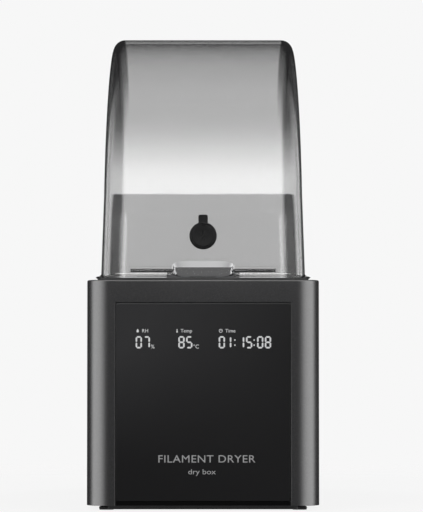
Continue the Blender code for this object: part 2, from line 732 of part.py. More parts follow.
# ---------------------------------------------------------------- feeder
def feeder():
    bm = bmesh.new()
    block(bm, (10, 28), (-128, -98.6), (74, 98))
    housing = make("feeder_housing", bm, "black_plastic")
    hollow = bmesh.new()
    block(hollow, (11.6, 30), (-126.5, -99.8), (76, 96))
    cut(housing, hollow)
    holes = bmesh.new()
    rod(holes, "Z", (FEED_X, FEED_Y), 1.5, 70, 77, 12)
    rod(holes, "Z", (FEED_X, FEED_Y), 1.5, 95, 100, 12)
    for side in (-1, 1):
        rod(holes, "X", (FEED_Y + side * FEED_OFFSET, FEED_Z), 1.8, 9, 13, 12)
    cut(housing, holes)

    bm = bmesh.new()
    block(bm, (28.3, 29.9), (-128, -98.6), (74, 98))
    cover = make("feeder_cover", bm, "grey_liner")
    holes = bmesh.new()
    for side in (-1, 1):
        rod(holes, "X", (FEED_Y + side * FEED_OFFSET, FEED_Z), 1.8, 27, 32, 12)
    cut(cover, holes)

    half_tooth = math.pi / FEED_TEETH
    for side, name, phase in ((-1, "drive", 0.0), (1, "idler", math.pi + half_tooth)):
        centre = (FEED_Y + side * FEED_OFFSET, FEED_Z)
        bm = bmesh.new()
        prism(bm, "X", gear_outline(centre, FEED_TEETH, phase), 22.5, 26.5)
        gear = make(f"feeder_{name}_gear", bm, "brass", (FEED_X, *centre))
        hub = bmesh.new()
        steps = [(10.3, 1.5), (17.0, 1.5), (17.0, 5.2), (18.8, 5.2), (FEED_X, 4.9)]
        steps += [(21.2, 5.2), (23.0, 5.2), (23.0, 1.5), (29.7, 1.5), (29.7, 0.4), (10.3, 0.4)]
        turned(hub, "X", centre, [(radius, along) for along, radius in steps], 14)
        fuse(gear, hub)

    drive = (FEED_Y - FEED_OFFSET, FEED_Z)
    bm = bmesh.new()
    rod(bm, "X", drive, 10.0, 30.6, 48.0, 24)
    motor = make("feeder_motor", bm, "steel")
    tail = bmesh.new()
    block(tail, (42, 50), (drive[0] - 5, drive[0] + 5), (FEED_Z - 11.5, FEED_Z - 6))
    fuse(motor, tail)

    bm = bmesh.new()
    profile = [(1.5, 98.3), (3.0, 98.3), (3.0, 104.0), (6.4, 109.0), (6.4, 109.6), (8.6, 109.6)]
    profile += [(8.6, 110.6), (7.2, 111.4), (5.6, 111.0), (1.5, 103.0)]
    turned(bm, "Z", (FEED_X, FEED_Y), profile, 18)
    make("inlet_funnel", bm, "white_nylon")


def filament_tube():
    """A slippery tube held along the right side, from the feeder's foot to the rear coupler."""
    stops = [(FEED_X, FEED_Y, 73.5), (FEED_X, FEED_Y, 64), (26, -109, 55), (40, -98, 48)]
    stops += [(50.0, -80, 45), (50.3, -40, 45), (50.3, 0, 46), (50.3, 40, 49), (50.0, 78, 58)]
    stops += [(47, 96, 70), (40, 106, 80), (32.5, 112, 85.2), (OUTLET_X, 118, OUTLET_Z)]
    stops += [(OUTLET_X, 123.7, OUTLET_Z)]
    route = smooth_route(stops, 3)
    curve = bpy.data.curves.new("filament_tube", "CURVE")
    curve.dimensions = "3D"
    curve.bevel_depth = 2.0 * MM
    curve.bevel_resolution = 1
    curve.use_fill_caps = True
    line = curve.splines.new("POLY")
    line.points.add(len(route) - 1)
    for point, place in zip(line.points, route):
        point.co = (*(place * MM), 1.0)
    tube = bpy.data.objects.new("filament_tube", curve)
    curve.materials.append(materials["clear_tube"])
    bpy.context.collection.objects.link(tube)


# ---------------------------------------------------------------- electronics and desiccant
def electronics():
    bm = bmesh.new()
    block(bm, (-30, 38), (-128, -70), (8.0, 9.6))
    board = make("main_board", bm, "green_board")
    parts = bmesh.new()
    block(parts, (-8, 8), (-127, -120), (9, 12.4))
    block(parts, (-4, 12), (-106, -90), (9, 11.4))
    block(parts, (20, 34), (-114, -98), (9, 17.0))
    for x in (-22, -12):
        rod(parts, "Z", (x, -84), 4.0, 9, 20, 14)
    fuse(board, parts)

    bm = bmesh.new()
    block(bm, (-44, 20), (70, 114), (FLOOR + GAP, 38))
    supply = make("power_supply", bm, "aluminium")
    slots = bmesh.new()
    slot_pitch, slot_width = 8.0, 4.0
    for slot in range(7):
        slot_x = -38.0 + slot * slot_pitch
        block(slots, (slot_x, slot_x + slot_width), (76, 108), (34.5, 40))
    cut(supply, slots)

    bm = bmesh.new()
    block(bm, (-12, 12), (106, 116), (FLANGE_TOP + GAP, 111.4))
    sensor = make("humidity_sensor", bm, "green_board")
    chip = bmesh.new()
    block(chip, (-4, 4), (108, 114), (111, 112.8))
    fuse(sensor, chip)

    bm = bmesh.new()
    block(bm, (39.9, 41.1), (-20, 20), (60, 100))
    reader = make("spool_tag_reader", bm, "green_board")
    chip = bmesh.new()
    block(chip, (41, 42.6), (-5, 5), (64, 72))
    fuse(reader, chip)


def desiccant():
    pivot = (-21.0, -112.75, 86.0)
    bm = bmesh.new()
    block(bm, (-37.9, -4.1), (-118.9, -106.6), (64, 109.3))
    box = make("desiccant_box", bm, "white_nylon", pivot)
    hollow = bmesh.new()
    block(hollow, (-36.5, -5.5), (-117.5, -108.0), (65.4, 112))
    cut(box, hollow)
    bm = bmesh.new()
    block(bm, (-39.5, -2.5), (-120.0, -105.5), (109.6, 110.8))
    cap = make("desiccant_cap", bm, "grey_liner", pivot)
    grip = bmesh.new()
    block(grip, (-26, -16), (-113.6, -111.9), (110.5, 112.2))
    fuse(cap, grip)
    vents = bmesh.new()
    vent_pitch, vent_width = 2.6, 1.2
    for column in range(4):
        for start in (-36.5, -13.3):
            x = start + vent_pitch * column
            block(vents, (x, x + vent_width), (-117.5, -108), (109, 112))
    cut(cap, vents)


# ---------------------------------------------------------------- lid
def lid_half_width(z):
    below = min(z, LID_SPRING_LINE) - LID_WIDTH_AT
    above = max(z - LID_SPRING_LINE, 0.0)
    return LID_HALF_WIDTH - LID_DRAFT * below - LID_UPPER_DRAFT * above


def lid_block(inset, bottom, fillet, fillet_steps):
    """The lid's outer form, or its inside when inset by the wall: flat ends under an elliptic arch."""
    half_depth = LID_HALF_DEPTH - inset
    rise = HEIGHT - LID_SPRING_LINE - inset
    outline = [(half_depth, bottom)]
    for step in range(ARCH_STEPS + 1):
        angle = math.pi * step / ARCH_STEPS
        outline.append((half_depth * math.cos(angle), LID_SPRING_LINE + rise * math.sin(angle)))
    outline.append((-half_depth, bottom))
    bm = bmesh.new()
    prism(bm, "X", outline, -1.0, 1.0)
    for side in (-1, 1):
        level = [v for v in bm.verts if v.co.x * side > 0 and abs(v.co.z - LID_SPRING_LINE) < 0.001]
        bmesh.ops.connect_verts(bm, verts=level)
    for vert in bm.verts:
        vert.co.x *= lid_half_width(vert.co.z) - inset
    rims = []
    for edge in bm.edges:
        along_side = edge.verts[0].co.x * edge.verts[1].co.x > 0
        at_bottom = max(vert.co.z for vert in edge.verts) < bottom + 0.1
        across_side = abs(edge.verts[0].co.y - edge.verts[1].co.y) > half_depth
        if along_side and not at_bottom and not across_side:
            rims.append(edge)
    bmesh.ops.bevel(
        bm,
        geom=rims,
        offset=fillet,
        offset_type="OFFSET",
        segments=fillet_steps,
        profile=0.5,
        affect="EDGES",
        clamp_overlap=False,
        material=-1,
    )
    return bm


def lid_foot():
    """The concave flare that spreads the lid's wall onto the rim seal."""
    bm = bmesh.new()
    levels = [(LID_BOTTOM, FLARE)]
    reach = FLARE_TOP - LID_BOTTOM
    for step in range(1, 5):
        angle = math.pi / 2 * step / 4
        levels.append((FLARE_TOP - reach * math.cos(angle) + 0.35, FLARE * (1 - math.sin(angle))))
    loops = []
    for height, spread in levels:
        x, y = lid_half_width(height) + spread - 0.02, LID_HALF_DEPTH + spread - 0.02
        outline = rounded((-x, x), (-y, y), LID_FILLET + spread, 5)
        loops.append([bm.verts.new((px, py, height)) for px, py in outline])
    for low, high in zip(loops, loops[1:]):
        for i in range(len(low)):
            j = (i + 1) % len(low)
            bm.faces.new((low[i], low[j], high[j], high[i]))
    bm.faces.new(loops[-1])
    bm.faces.new(loops[0])
    return bm


def lid_shell():
    pivot = (0.0, HINGE_Y, HINGE_Z)
    lid = make("lid_shell", lid_block(0.0, LID_BOTTOM, LID_FILLET, 4), "smoke_clear", pivot)
    fuse(lid, lid_foot())
    cut(lid, lid_block(LID_WALL, LID_BOTTOM - 4, LID_FILLET - LID_WALL, 3))

    additions = bmesh.new()
    into_wall = 0.3
    land_x = lid_half_width(LID_BOTTOM) - LID_WALL + into_wall
    land_y = (124.8, LID_HALF_DEPTH - LID_WALL + into_wall)
    block(additions, (-land_x, land_x), land_y, (LID_BOTTOM, LID_BOTTOM + 1.6))
    for side in (-1, 1):
        boss_y = (-LID_HALF_DEPTH + LID_WALL - into_wall, LATCH_Y + 1.6)
        block(additions, (side * BOSS_X[0], side * BOSS_X[1]), boss_y, (LATCH_Z - 2.1, LATCH_Z + 2.1))
    fuse(lid, additions)

    notches = bmesh.new()
    block(notches, (-15.2, 15.2), (-142, -136.2), (110, 122.6))
    block(notches, (-60, 60), (138.4, 142), (110, 119))
    rod(notches, "Y", (0.0, PLUG_Z), PLUG_STEM + GAP, -140, -130, 20)
    cut(lid, notches)

    slots = bmesh.new()
    block(slots, (-30.2, 30.2), (131.2, 143), (109, 121.4))
    block(slots, (-15.3, 15.3), (-137.5, -133), (109, 119.8))
    cut(lid, slots)
    rod_holes = bmesh.new()
    for low, high in ((-35.9, -14), (14, 35.9)):
        rod(rod_holes, "X", (LATCH_Y, LATCH_Z), LATCH_ROD_RADIUS + 0.2, low, high, 10)
    cut(lid, rod_holes)


def hinge():
    axis = (HINGE_Y, HINGE_Z)
    bm = bmesh.new()
    block(bm, (-30, 30), (130.6, 136.3), (106.9, DECK_UNDER - GAP))
    bracket = make("base_hinge_bracket", bm, "dark_shell")
    for side in (-1, 1):
        low, high = sorted((side * HINGE_LUG_X[0], side * HINGE_LUG_X[1]))
        stem = bmesh.new()
        block(stem, (low, high), HINGE_LUG_Y, (DECK_UNDER - 1.5, HINGE_Z - 1))
        fuse(bracket, stem)
        knuckle = bmesh.new()
        rod(knuckle, "X", axis, HINGE_RADIUS, low, high, 20)
        fuse(bracket, knuckle)
    bore = bmesh.new()
    rod(bore, "X", axis, HINGE_PIN_RADIUS + GAP, -32, 32, 16)
    cut(bracket, bore)

    bm = bmesh.new()
    rod(bm, "X", axis, HINGE_RADIUS, -HINGE_LEAF_X, HINGE_LEAF_X, 20)
    leaf = make("lid_hinge_leaf", bm, "dark_shell", (0.0, *axis))
    plate = bmesh.new()
    block(plate, (-HINGE_LEAF_X, HINGE_LEAF_X), HINGE_LEAF_Y, (HINGE_Z, HINGE_LEAF_TOP))
    fuse(leaf, plate)
    bore = bmesh.new()
    rod(bore, "X", axis, HINGE_PIN_RADIUS + GAP, -32, 32, 16)
    cut(leaf, bore)

    bm = bmesh.new()
    rod(bm, "X", axis, HINGE_PIN_RADIUS, -29.4, 29.4, 16)
    make("hinge_pin", bm, "steel", (0.0, *axis))


def latch():
    axis = (LATCH_Y, LATCH_Z)
    bm = bmesh.new()
    side = [(-137.7, 121.5), (-139.9, 118.4), (-139.9, 114.7), (-139.3, 113.9), (-137.3, 113.9)]
    side += [(-137.3, 119.0)]
    for vert in prism(bm, "X", side, -LATCH_HALF_WIDTH, LATCH_HALF_WIDTH):
        if vert.co.y < -139:
            vert.co.x *= 0.93
    tab = make("lid_latch", bm, "silver", (0.0, *axis))
    barrel = bmesh.new()
    rod(barrel, "X", axis, 2.0, -10.8, 10.8, 16)
    fuse(tab, barrel)
    web = bmesh.new()
    block(web, (-10.8, 10.8), (-137.9, LATCH_Y - 0.9), (115.4, 118.8))
    fuse(tab, web)
    hook = bmesh.new()
    outline = [(-133.4, 116.6), (-133.4, 105.9), (-131.2, 105.9), (-130.6, 106.6)]
    outline += [(-130.6, 107.6), (-132.0, 107.6), (-132.0, 116.6)]
    prism(hook, "X", outline, -6.5, 6.5)
    fuse(tab, hook)
    bore = bmesh.new()
    rod(bore, "X", axis, LATCH_ROD_RADIUS + 0.2, -16, 16, 10)
    cut(tab, bore)

    bm = bmesh.new()
    rod(bm, "X", axis, LATCH_ROD_RADIUS, -35.5, 35.5, 10)
    make("latch_pivot_rod", bm, "steel")

    bm = bmesh.new()
    block(bm, (-10, 10), (-131.7, -126.0), (107.9, DECK_UNDER - GAP))
    make("latch_catch", bm, "steel")

    coil = bpy.data.curves.new("latch_spring", "CURVE")
    coil.dimensions = "3D"
    coil.bevel_depth = 0.25 * MM
    coil.bevel_resolution = 0
    coil.use_fill_caps = True
    turns, per_turn, coil_radius, start_x, stop_x = 4, 10, 1.35, 11.4, 15.1
    line = coil.splines.new("POLY")
    line.points.add(turns * per_turn)
    for index, point in enumerate(line.points):
        angle = 2 * math.pi * index / per_turn
        along = start_x + (stop_x - start_x) * index / (turns * per_turn)
        y, z = LATCH_Y + coil_radius * math.cos(angle), LATCH_Z + coil_radius * math.sin(angle)
        point.co = (along * MM, y * MM, z * MM, 1.0)
    spring = bpy.data.objects.new("latch_spring", coil)
    coil.materials.append(materials["steel"])
    bpy.context.collection.objects.link(spring)


def bypass_plug():
    bm = bmesh.new()
    profile = [(0.6, -139.3), (PLUG_RADIUS - 0.6, -139.3), (PLUG_RADIUS, -138.8), (PLUG_RADIUS, -137.5)]
    profile += [(PLUG_STEM, -137.5), (PLUG_STEM, -132.5), (0.6, -132.5)]
    turned(bm, "Y", (0.0, PLUG_Z), profile, 24)
    plug = make("bypass_plug", bm, "rubber", (0.0, -137.5, PLUG_Z))
    tab = bmesh.new()
    outline = rounded((-2.3, 2.3), (PLUG_Z + 5.0, PLUG_Z + 10.3), 0.7, 2)
    prism(tab, "Y", outline, -139.0, -137.6)
    fuse(plug, tab)


# ---------------------------------------------------------------- the whole box
outer_housing()
rim_seal()
inner_liner()
bottom_cover()
rubber_feet()
display_panel()
display_board()
display_cable()
rear_panel()
power_inlet()
signal_ports()
outlet_coupler()
exhaust_flap()
blower()
heater_block()
air_duct()
rollers()
roller_drive()
feeder()
filament_tube()
electronics()
desiccant()
lid_shell()
hinge()
latch()
bypass_plug()
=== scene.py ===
import json
import math

import bmesh
import bpy
from mathutils import Matrix, Vector


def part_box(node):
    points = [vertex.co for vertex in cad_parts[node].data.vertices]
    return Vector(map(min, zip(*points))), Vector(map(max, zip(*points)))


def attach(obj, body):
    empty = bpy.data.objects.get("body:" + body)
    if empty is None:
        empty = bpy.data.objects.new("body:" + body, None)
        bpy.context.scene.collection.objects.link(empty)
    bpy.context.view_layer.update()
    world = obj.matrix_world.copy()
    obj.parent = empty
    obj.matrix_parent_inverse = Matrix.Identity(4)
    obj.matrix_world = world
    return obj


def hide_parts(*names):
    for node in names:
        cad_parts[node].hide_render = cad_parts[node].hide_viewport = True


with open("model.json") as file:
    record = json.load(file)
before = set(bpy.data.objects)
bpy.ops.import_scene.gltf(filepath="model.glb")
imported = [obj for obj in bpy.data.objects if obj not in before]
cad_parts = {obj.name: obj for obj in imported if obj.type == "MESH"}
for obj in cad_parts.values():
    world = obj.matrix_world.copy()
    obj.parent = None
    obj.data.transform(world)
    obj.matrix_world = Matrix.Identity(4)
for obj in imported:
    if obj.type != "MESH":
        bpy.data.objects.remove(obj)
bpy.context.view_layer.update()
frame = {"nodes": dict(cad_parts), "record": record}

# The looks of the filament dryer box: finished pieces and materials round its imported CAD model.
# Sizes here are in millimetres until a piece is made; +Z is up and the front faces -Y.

MM = 0.001


def corners(node):
    """A CAD node's lowest and highest corners, in millimetres."""
    low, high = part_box(node)
    return low / MM, high / MM


BODY_OF = {node: body for body, nodes in frame["record"]["behaviour"]["bodies"].items() for node in nodes}

HOUSING_LOW, HOUSING_HIGH = corners("outer_housing")
LID_LOW, LID_HIGH = corners("lid_shell")
PANEL_LOW, PANEL_HIGH = corners("display_panel")
SEAL_LOW, SEAL_HIGH = corners("rim_seal")
COVER_LOW = corners("bottom_cover")[0]
LATCH_HIGH = corners("lid_latch")[1]
PLUG_LOW, PLUG_HIGH = corners("bypass_plug")
ROD_LOW, ROD_HIGH = corners("latch_pivot_rod")
OUTLET_LOW, OUTLET_HIGH = corners("outlet_coupler")
LATCH_AXIS = ((ROD_LOW.y + ROD_HIGH.y) / 2, (ROD_LOW.z + ROD_HIGH.z) / 2)

# ---------------------------------------------------------------- sizes that the frame doesn't give
COLUMN_RADIUS = 12.5
HOUSING_INNER_RADIUS = 6.0
SIDE_WALL = 2.4
END_WALL = 3.4
DECK = 2.8
DECK_OPENING = (44.0, 122.0)
FIT_GAP = 0.3
PANEL_REBATE = 1.9
WINDOW_X, WINDOW_Z = 38.0, (58.0, 98.0)
REAR_X, REAR_Z = 46.0, (8.0, 104.0)
HOOK_SLOT_X, HOOK_SLOT_Y = 7.2, (-135.6, -130.6)
LUG_SLOT_X, LUG_SLOT_FRONT = (21.3, 28.5), 131.9
SEAL_WIDTH = 2.0
SEAL_RADIUS = 8.5

SCREW_X, SCREW_Y = 44.5, 100.0
SCREW_SOCKET = 1.2
SCREW_SUNK = 0.2
FOOT_RADIUS = 2.0
FOOT_TAPER = 0.93
FOOT_GROOVE_INSET = 1.4
FOOT_GROOVE_ROW = 2.2
FOOT_GROOVE_HALF = 0.4
FOOT_GROOVE_TOP = 0.35

READING_BASE = 78.8
DIGIT_HEIGHT, DIGIT_WIDTH = 6.0, 3.1
MARK_HEIGHT = 1.9
LABEL_BASE, LABEL_HEIGHT = 86.6, 1.7

LID_WALL = 2.0
LID_HALF_DEPTH = 137.2
LID_HALF_WIDTH = 49.93
LID_WIDTH_AT = 117.0
LID_DRAFT = 0.0336
LID_UPPER_DRAFT = 0.018
LID_SPRING_LINE = 154.0
LID_FILLET = 5.6
LID_FLARE = 2.7
LID_FLARE_TOP = 115.4
LID_OPENINGS = {
    "latch_recess": ((-15.2, 15.2), (-142, -136.2), (110, 122.6)),
    "rear_trim": ((-60, 60), (138.4, 142), (110, 119)),
    "hinge_notch": ((-30.2, 30.2), (131.2, 143), (109, 121.4)),
    "slot_behind_tab": ((-15.3, 15.3), (-137.5, -133), (109, 119.8)),
}
SEAL_LAND_FRONT, SEAL_LAND_HEIGHT = 124.8, 1.6
BOSS_X = (15.6, 36.3)
BOSS_HALF_HEIGHT = 2.1
BOSS_DEPTH = 1.6
ROD_BORE = 0.9
ROD_BORE_X = (14.0, 35.9)
OVERLAP = 0.3

PLUG_TAB_RISE = 3.6
PLUG_CENTRE = (0.0, (PLUG_LOW.z + PLUG_HIGH.z - PLUG_TAB_RISE) / 2)
PLUG_HOLE = 4.7


# ---------------------------------------------------------------- mesh helpers, in millimetres
def new_block(x, y, z):
    """A box between two values on each axis, as a new bmesh."""
    bm = bmesh.new()
    add_block(bm, x, y, z)
    return bm


def add_block(bm, x, y, z):
    spans = [(min(pair), max(pair)) for pair in (x, y, z)]
    middle = Vector([(low + high) / 2 for low, high in spans])
    size = [high - low for low, high in spans]
    place = Matrix.Translation(middle) @ Matrix.Diagonal((*size, 1.0))
    return bmesh.ops.create_cube(bm, size=1.0, matrix=place)["verts"]


def bevel(bm, edges, width, steps):
    bmesh.ops.bevel(
        bm,
        geom=edges,
        offset=width,
        offset_type="OFFSET",
        segments=steps,
        profile=0.5,
        affect="EDGES",
        clamp_overlap=False,
        material=-1,
    )


def runs_along(edge, axis):
    """Whether an edge is parallel to the axis with this number."""
    run = edge.verts[1].co - edge.verts[0].co
    return abs(run[axis]) > 0.999 * run.length


def rounded_block(x, y, z, axis, radius, steps=8):
    """A box with its four edges along one axis rounded."""
    bm = new_block(x, y, z)
    bevel(bm, [edge for edge in bm.edges if runs_along(edge, axis)], radius, steps)
    return bm


TURN_TO = {
    "X": Matrix.Rotation(math.pi / 2, 4, "Y"),
    "Y": Matrix.Rotation(-math.pi / 2, 4, "X"),
    "Z": Matrix.Identity(4),
}


def along_axis(axis, centre, along):
    u, v = centre
    return {"X": Vector((along, u, v)), "Y": Vector((u, along, v)), "Z": Vector((u, v, along))}[axis]


def turned(axis, centre, profile, steps=64):
    """A closed profile of (radius, along) points spun fully round the axis, as a new bmesh."""
    bm = bmesh.new()
    points = [bm.verts.new((radius, 0.0, along)) for radius, along in profile]
    edges = [bm.edges.new((points[i], points[(i + 1) % len(points)])) for i in range(len(points))]
    turn = {"cent": (0, 0, 0), "axis": (0, 0, 1), "angle": 2 * math.pi, "steps": steps}
    bmesh.ops.spin(bm, geom=points + edges, use_merge=True, **turn)
    bmesh.ops.remove_doubles(bm, verts=bm.verts, dist=0.0005)
    place = Matrix.Translation(along_axis(axis, centre, 0.0)) @ TURN_TO[axis]
    bmesh.ops.transform(bm, matrix=place, verts=bm.verts)
    return bm


def rod(axis, centre, radius, start, end, steps=48):
    """A plain cylinder along an axis, as a new bmesh."""
    bm = bmesh.new()
    place = Matrix.Translation(along_axis(axis, centre, (start + end) / 2)) @ TURN_TO[axis]
    size = {"segments": steps, "radius1": radius, "radius2": radius, "depth": end - start}
    bmesh.ops.create_cone(bm, cap_ends=True, matrix=place, **size)
    return bm


def push_outline(axis, outline, start, end):
    """A flat outline of cross coordinates pushed along an axis, as a new bmesh."""
    bm = bmesh.new()
    face = bm.faces.new([bm.verts.new(along_axis(axis, point, start)) for point in outline])
    pushed = bmesh.ops.extrude_face_region(bm, geom=[face])["geom"]
    verts = [item for item in pushed if isinstance(item, bmesh.types.BMVert)]
    bmesh.ops.translate(bm, verts=verts, vec=along_axis(axis, (0.0, 0.0), end - start))
    bmesh.ops.recalc_face_normals(bm, faces=bm.faces)
    return bm


def stand_in(bm, name):
    """A short-lived object for a Boolean, made from a bmesh that is then freed."""
    bmesh.ops.recalc_face_normals(bm, faces=bm.faces)
    mesh = bpy.data.meshes.new(name)
    bm.to_mesh(mesh)
    bm.free()
    made = bpy.data.objects.new(name, mesh)
    bpy.context.collection.objects.link(made)
    return made


def shaped(bm, tool, operation="DIFFERENCE"):
    """bm with the tool cut from it, or joined to it: a new bmesh, and both old ones are freed."""
    body, helper = stand_in(bm, "shaped_body"), stand_in(tool, "shaping_tool")
    step = body.modifiers.new("shape", "BOOLEAN")
    step.operation = operation
    step.solver = "EXACT"
    step.object = helper
    result = bmesh.new()
    result.from_object(body, bpy.context.evaluated_depsgraph_get())
    for used in (body, helper):
        mesh = used.data
        bpy.data.objects.remove(used)
        bpy.data.meshes.remove(mesh)
    return result


def cut(bm, *tools):
    for tool in tools:
        bm = shaped(bm, tool, "DIFFERENCE")
    return bm


def join(bm, *tools):
    for tool in tools:
        bm = shaped(bm, tool, "UNION")
    return bm


def add_all(*parts):
    """Separate bodies put into one bmesh."""
    bm = bmesh.new()
    for part in parts:
        mesh = bpy.data.meshes.new("part")
        bmesh.ops.recalc_face_normals(part, faces=part.faces)
        part.to_mesh(mesh)
        part.free()
        bm.from_mesh(mesh)
        bpy.data.meshes.remove(mesh)
    return bm


def finish_piece(name, bm, finish, nodes, soften=0.0, steps=2, crease=32, body=None):
    """Makes the piece at its place in metres, rounds its edges, and puts it on its body."""
    bmesh.ops.scale(bm, verts=bm.verts, vec=(MM, MM, MM))
    mesh = bpy.data.meshes.new(name)
    bm.to_mesh(mesh)
    bm.free()
    mesh.shade_smooth()
    made = bpy.data.objects.new(name, mesh)
    bpy.context.collection.objects.link(made)
    mesh.materials.append(finish)
    if soften:
        edge = made.modifiers.new("soft_edges", "BEVEL")
        edge.width = soften * MM
        edge.segments = steps
        edge.limit_method = "ANGLE"
        edge.angle_limit = math.radians(crease)
        edge.use_clamp_overlap = True
    else:
        mesh.set_sharp_from_angle(angle=math.radians(crease))
    even = made.modifiers.new("even_shading", "WEIGHTED_NORMAL")
    even.keep_sharp = True
    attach(made, body or BODY_OF[nodes[0]])
    if nodes:
        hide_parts(*nodes)
    return made


def softened(node, finish, width, steps=2, crease=32):
    """A copy of a CAD node with its flat faces rejoined and its edges rounded."""
    bm = bmesh.new()
    bm.from_mesh(frame["nodes"][node].data)
    bmesh.ops.remove_doubles(bm, verts=bm.verts, dist=0.002 * MM)
    bmesh.ops.dissolve_limit(bm, angle_limit=math.radians(0.5), verts=bm.verts, edges=bm.edges)
    bmesh.ops.scale(bm, verts=bm.verts, vec=(1 / MM, 1 / MM, 1 / MM))
    return finish_piece(f"{node}_rounded", bm, finish, [node], width, steps, crease)


# ---------------------------------------------------------------- shader helpers
class Signal:
    """A shader socket that takes part in Python sums: each operation adds a Math node."""

    def __init__(self, nodes, socket):
        self.nodes = nodes
        self.socket = socket

    def sum(self, operation, first, second):
        return self.nodes.add("ShaderNodeMath", {"operation": operation}, {0: first, 1: second})

    def __add__(self, other):
        return self.sum("ADD", self, other)

    def __radd__(self, other):
        return self.sum("ADD", other, self)

    def __sub__(self, other):
        return self.sum("SUBTRACT", self, other)

    def __rsub__(self, other):
        return self.sum("SUBTRACT", other, self)

    def __mul__(self, other):
        return self.sum("MULTIPLY", self, other)

    def __rmul__(self, other):
        return self.sum("MULTIPLY", other, self)

    def __truediv__(self, other):
        return self.sum("DIVIDE", self, other)

    def __pow__(self, other):
        return self.sum("POWER", self, other)

    def __gt__(self, other):
        return self.sum("GREATER_THAN", self, other)


class Nodes:
    """A node tree being built: every node comes from add."""

    def __init__(self, tree):
        self.tree = tree

    def add(self, kind, settings=None, sockets=None, output=0):
        """A node of this kind: its settings first, then the values or links of its sockets."""
        made = self.tree.nodes.new(kind)
        for name, value in (settings or {}).items():
            if name == "stops":
                self.set_stops(made.color_ramp, value)
            else:
                setattr(made, name, value)
        for name, value in (sockets or {}).items():
            self.feed(made.inputs[name], value)
        return Signal(self, made.outputs[output])

    def feed(self, socket, value):
        if isinstance(value, Signal):
            self.tree.links.new(value.socket, socket)
        else:
            socket.default_value = value

    def set_stops(self, ramp, stops):
        while len(ramp.elements) < len(stops):
            ramp.elements.new(0.5)
        for element, (place, level) in zip(ramp.elements, stops):
            element.position = place
            element.color = (level, level, level, 1.0)

    def ramp(self, factor, stops, interpolation="LINEAR"):
        """A grey ramp, as a number from 0 to 1."""
        made = self.add("ShaderNodeValToRGB", {"stops": stops}, {"Fac": factor})
        made.socket.node.color_ramp.interpolation = interpolation
        return made

    def smooth_step(self, value, low, high):
        settings = {"interpolation_type": "SMOOTHSTEP"}
        return self.add("ShaderNodeMapRange", settings, {0: value, 1: low, 2: high})

    def place(self, stretch=(1.0, 1.0, 1.0), turn=(0.0, 0.0, 0.0)):
        """Object coordinates, turned and stretched."""
        position = self.add("ShaderNodeTexCoord", output="Object")
        return self.add("ShaderNodeMapping", {}, {"Vector": position, "Scale": stretch, "Rotation": turn})

    def noise(self, scale, detail=2.0, stretch=(1.0, 1.0, 1.0), rough=0.5):
        sockets = {"Vector": self.place(stretch), "Scale": scale, "Detail": detail, "Roughness": rough}
        return self.add("ShaderNodeTexNoise", {}, sockets)

    def speckle(self, scale, stretch=(1.0, 1.0, 1.0)):
        """Rounded cells, as moulded grain has: the distance to the nearest cell's middle."""
        return self.add("ShaderNodeTexVoronoi", {}, {"Vector": self.place(stretch), "Scale": scale})

    def mix_colour(self, factor, first, second):
        sockets = {0: factor, 6: (*first, 1.0) if isinstance(first, tuple) else first}
        sockets[7] = (*second, 1.0) if isinstance(second, tuple) else second
        return self.add("ShaderNodeMix", {"data_type": "RGBA"}, sockets, output=2)

    def bump(self, height, strength, depth):
        """A normal from a height; depth is in millimetres."""
        sockets = {"Height": height, "Strength": strength, "Distance": depth * MM}
        return self.add("ShaderNodeBump", {}, sockets)


class Finish(Nodes):
    """A material being built round its Principled shader."""

    def __init__(self, name, slot):
        self.material = bpy.data.materials.new(name)
        self.material.use_nodes = True
        self.material["slot"] = slot
        super().__init__(self.material.node_tree)
        self.shader = self.tree.nodes["Principled BSDF"]

    def set(self, **sockets):
        """Feeds the shader's sockets, named with underscores for spaces."""
        for name, value in sockets.items():
            if isinstance(value, tuple) and len(value) == 3:
                value = (*value, 1.0)
            self.feed(self.shader.inputs[name.replace("_", " ")], value)
        return self.material


def scaled(colour, share):
    return tuple(part * share for part in colour)


# ---------------------------------------------------------------- finishes
def moulded(name, slot, colour, roughness, grain=0.5, depth=0.03, spread=0.12, specular=0.5):
    """Moulded plastic: rounded grain, faint flow marks and a little unevenness in its gloss."""
    f = Finish(name, slot)
    flow = f.noise(28.0, 4.0, (1.0, 1.0, 0.35))
    cells = f.speckle(1000.0 / grain)
    dust = f.noise(900.0, 3.0)
    shade = f.mix_colour(flow, scaled(colour, 1 - spread), scaled(colour, 1 + spread))
    shade = f.mix_colour((dust > 0.64) * 0.35, shade, scaled(colour, 1 + 4 * spread))
    height = 0.7 * cells + 0.3 * dust
    return f.set(
        Base_Color=shade,
        Roughness=roughness + (flow - 0.5) * 0.1 + (cells - 0.5) * 0.06,
        Specular_IOR_Level=specular,
        Normal=f.bump(height, 0.35, depth),
    )


def coated_metal(name, slot):
    """The dark satin coat: fine metallic flake in a smooth film."""
    f = Finish(name, slot)
    flake = f.speckle(4200.0)
    cloud = f.noise(14.0, 3.0)
    film = f.noise(420.0, 2.0)
    colour = (0.0235, 0.0235, 0.0243)
    shade = f.mix_colour(cloud, scaled(colour, 0.9), scaled(colour, 1.12))
    shade = f.mix_colour((flake > 0.62) * 0.3, shade, (0.075, 0.075, 0.078))
    return f.set(
        Base_Color=shade,
        Metallic=flake * 0.1,
        Anisotropic=0.93,
        Roughness=0.17 + (cloud - 0.5) * 0.04 + flake * 0.02,
        Normal=f.bump(0.6 * flake + 0.4 * film, 0.12, 0.012),
    )


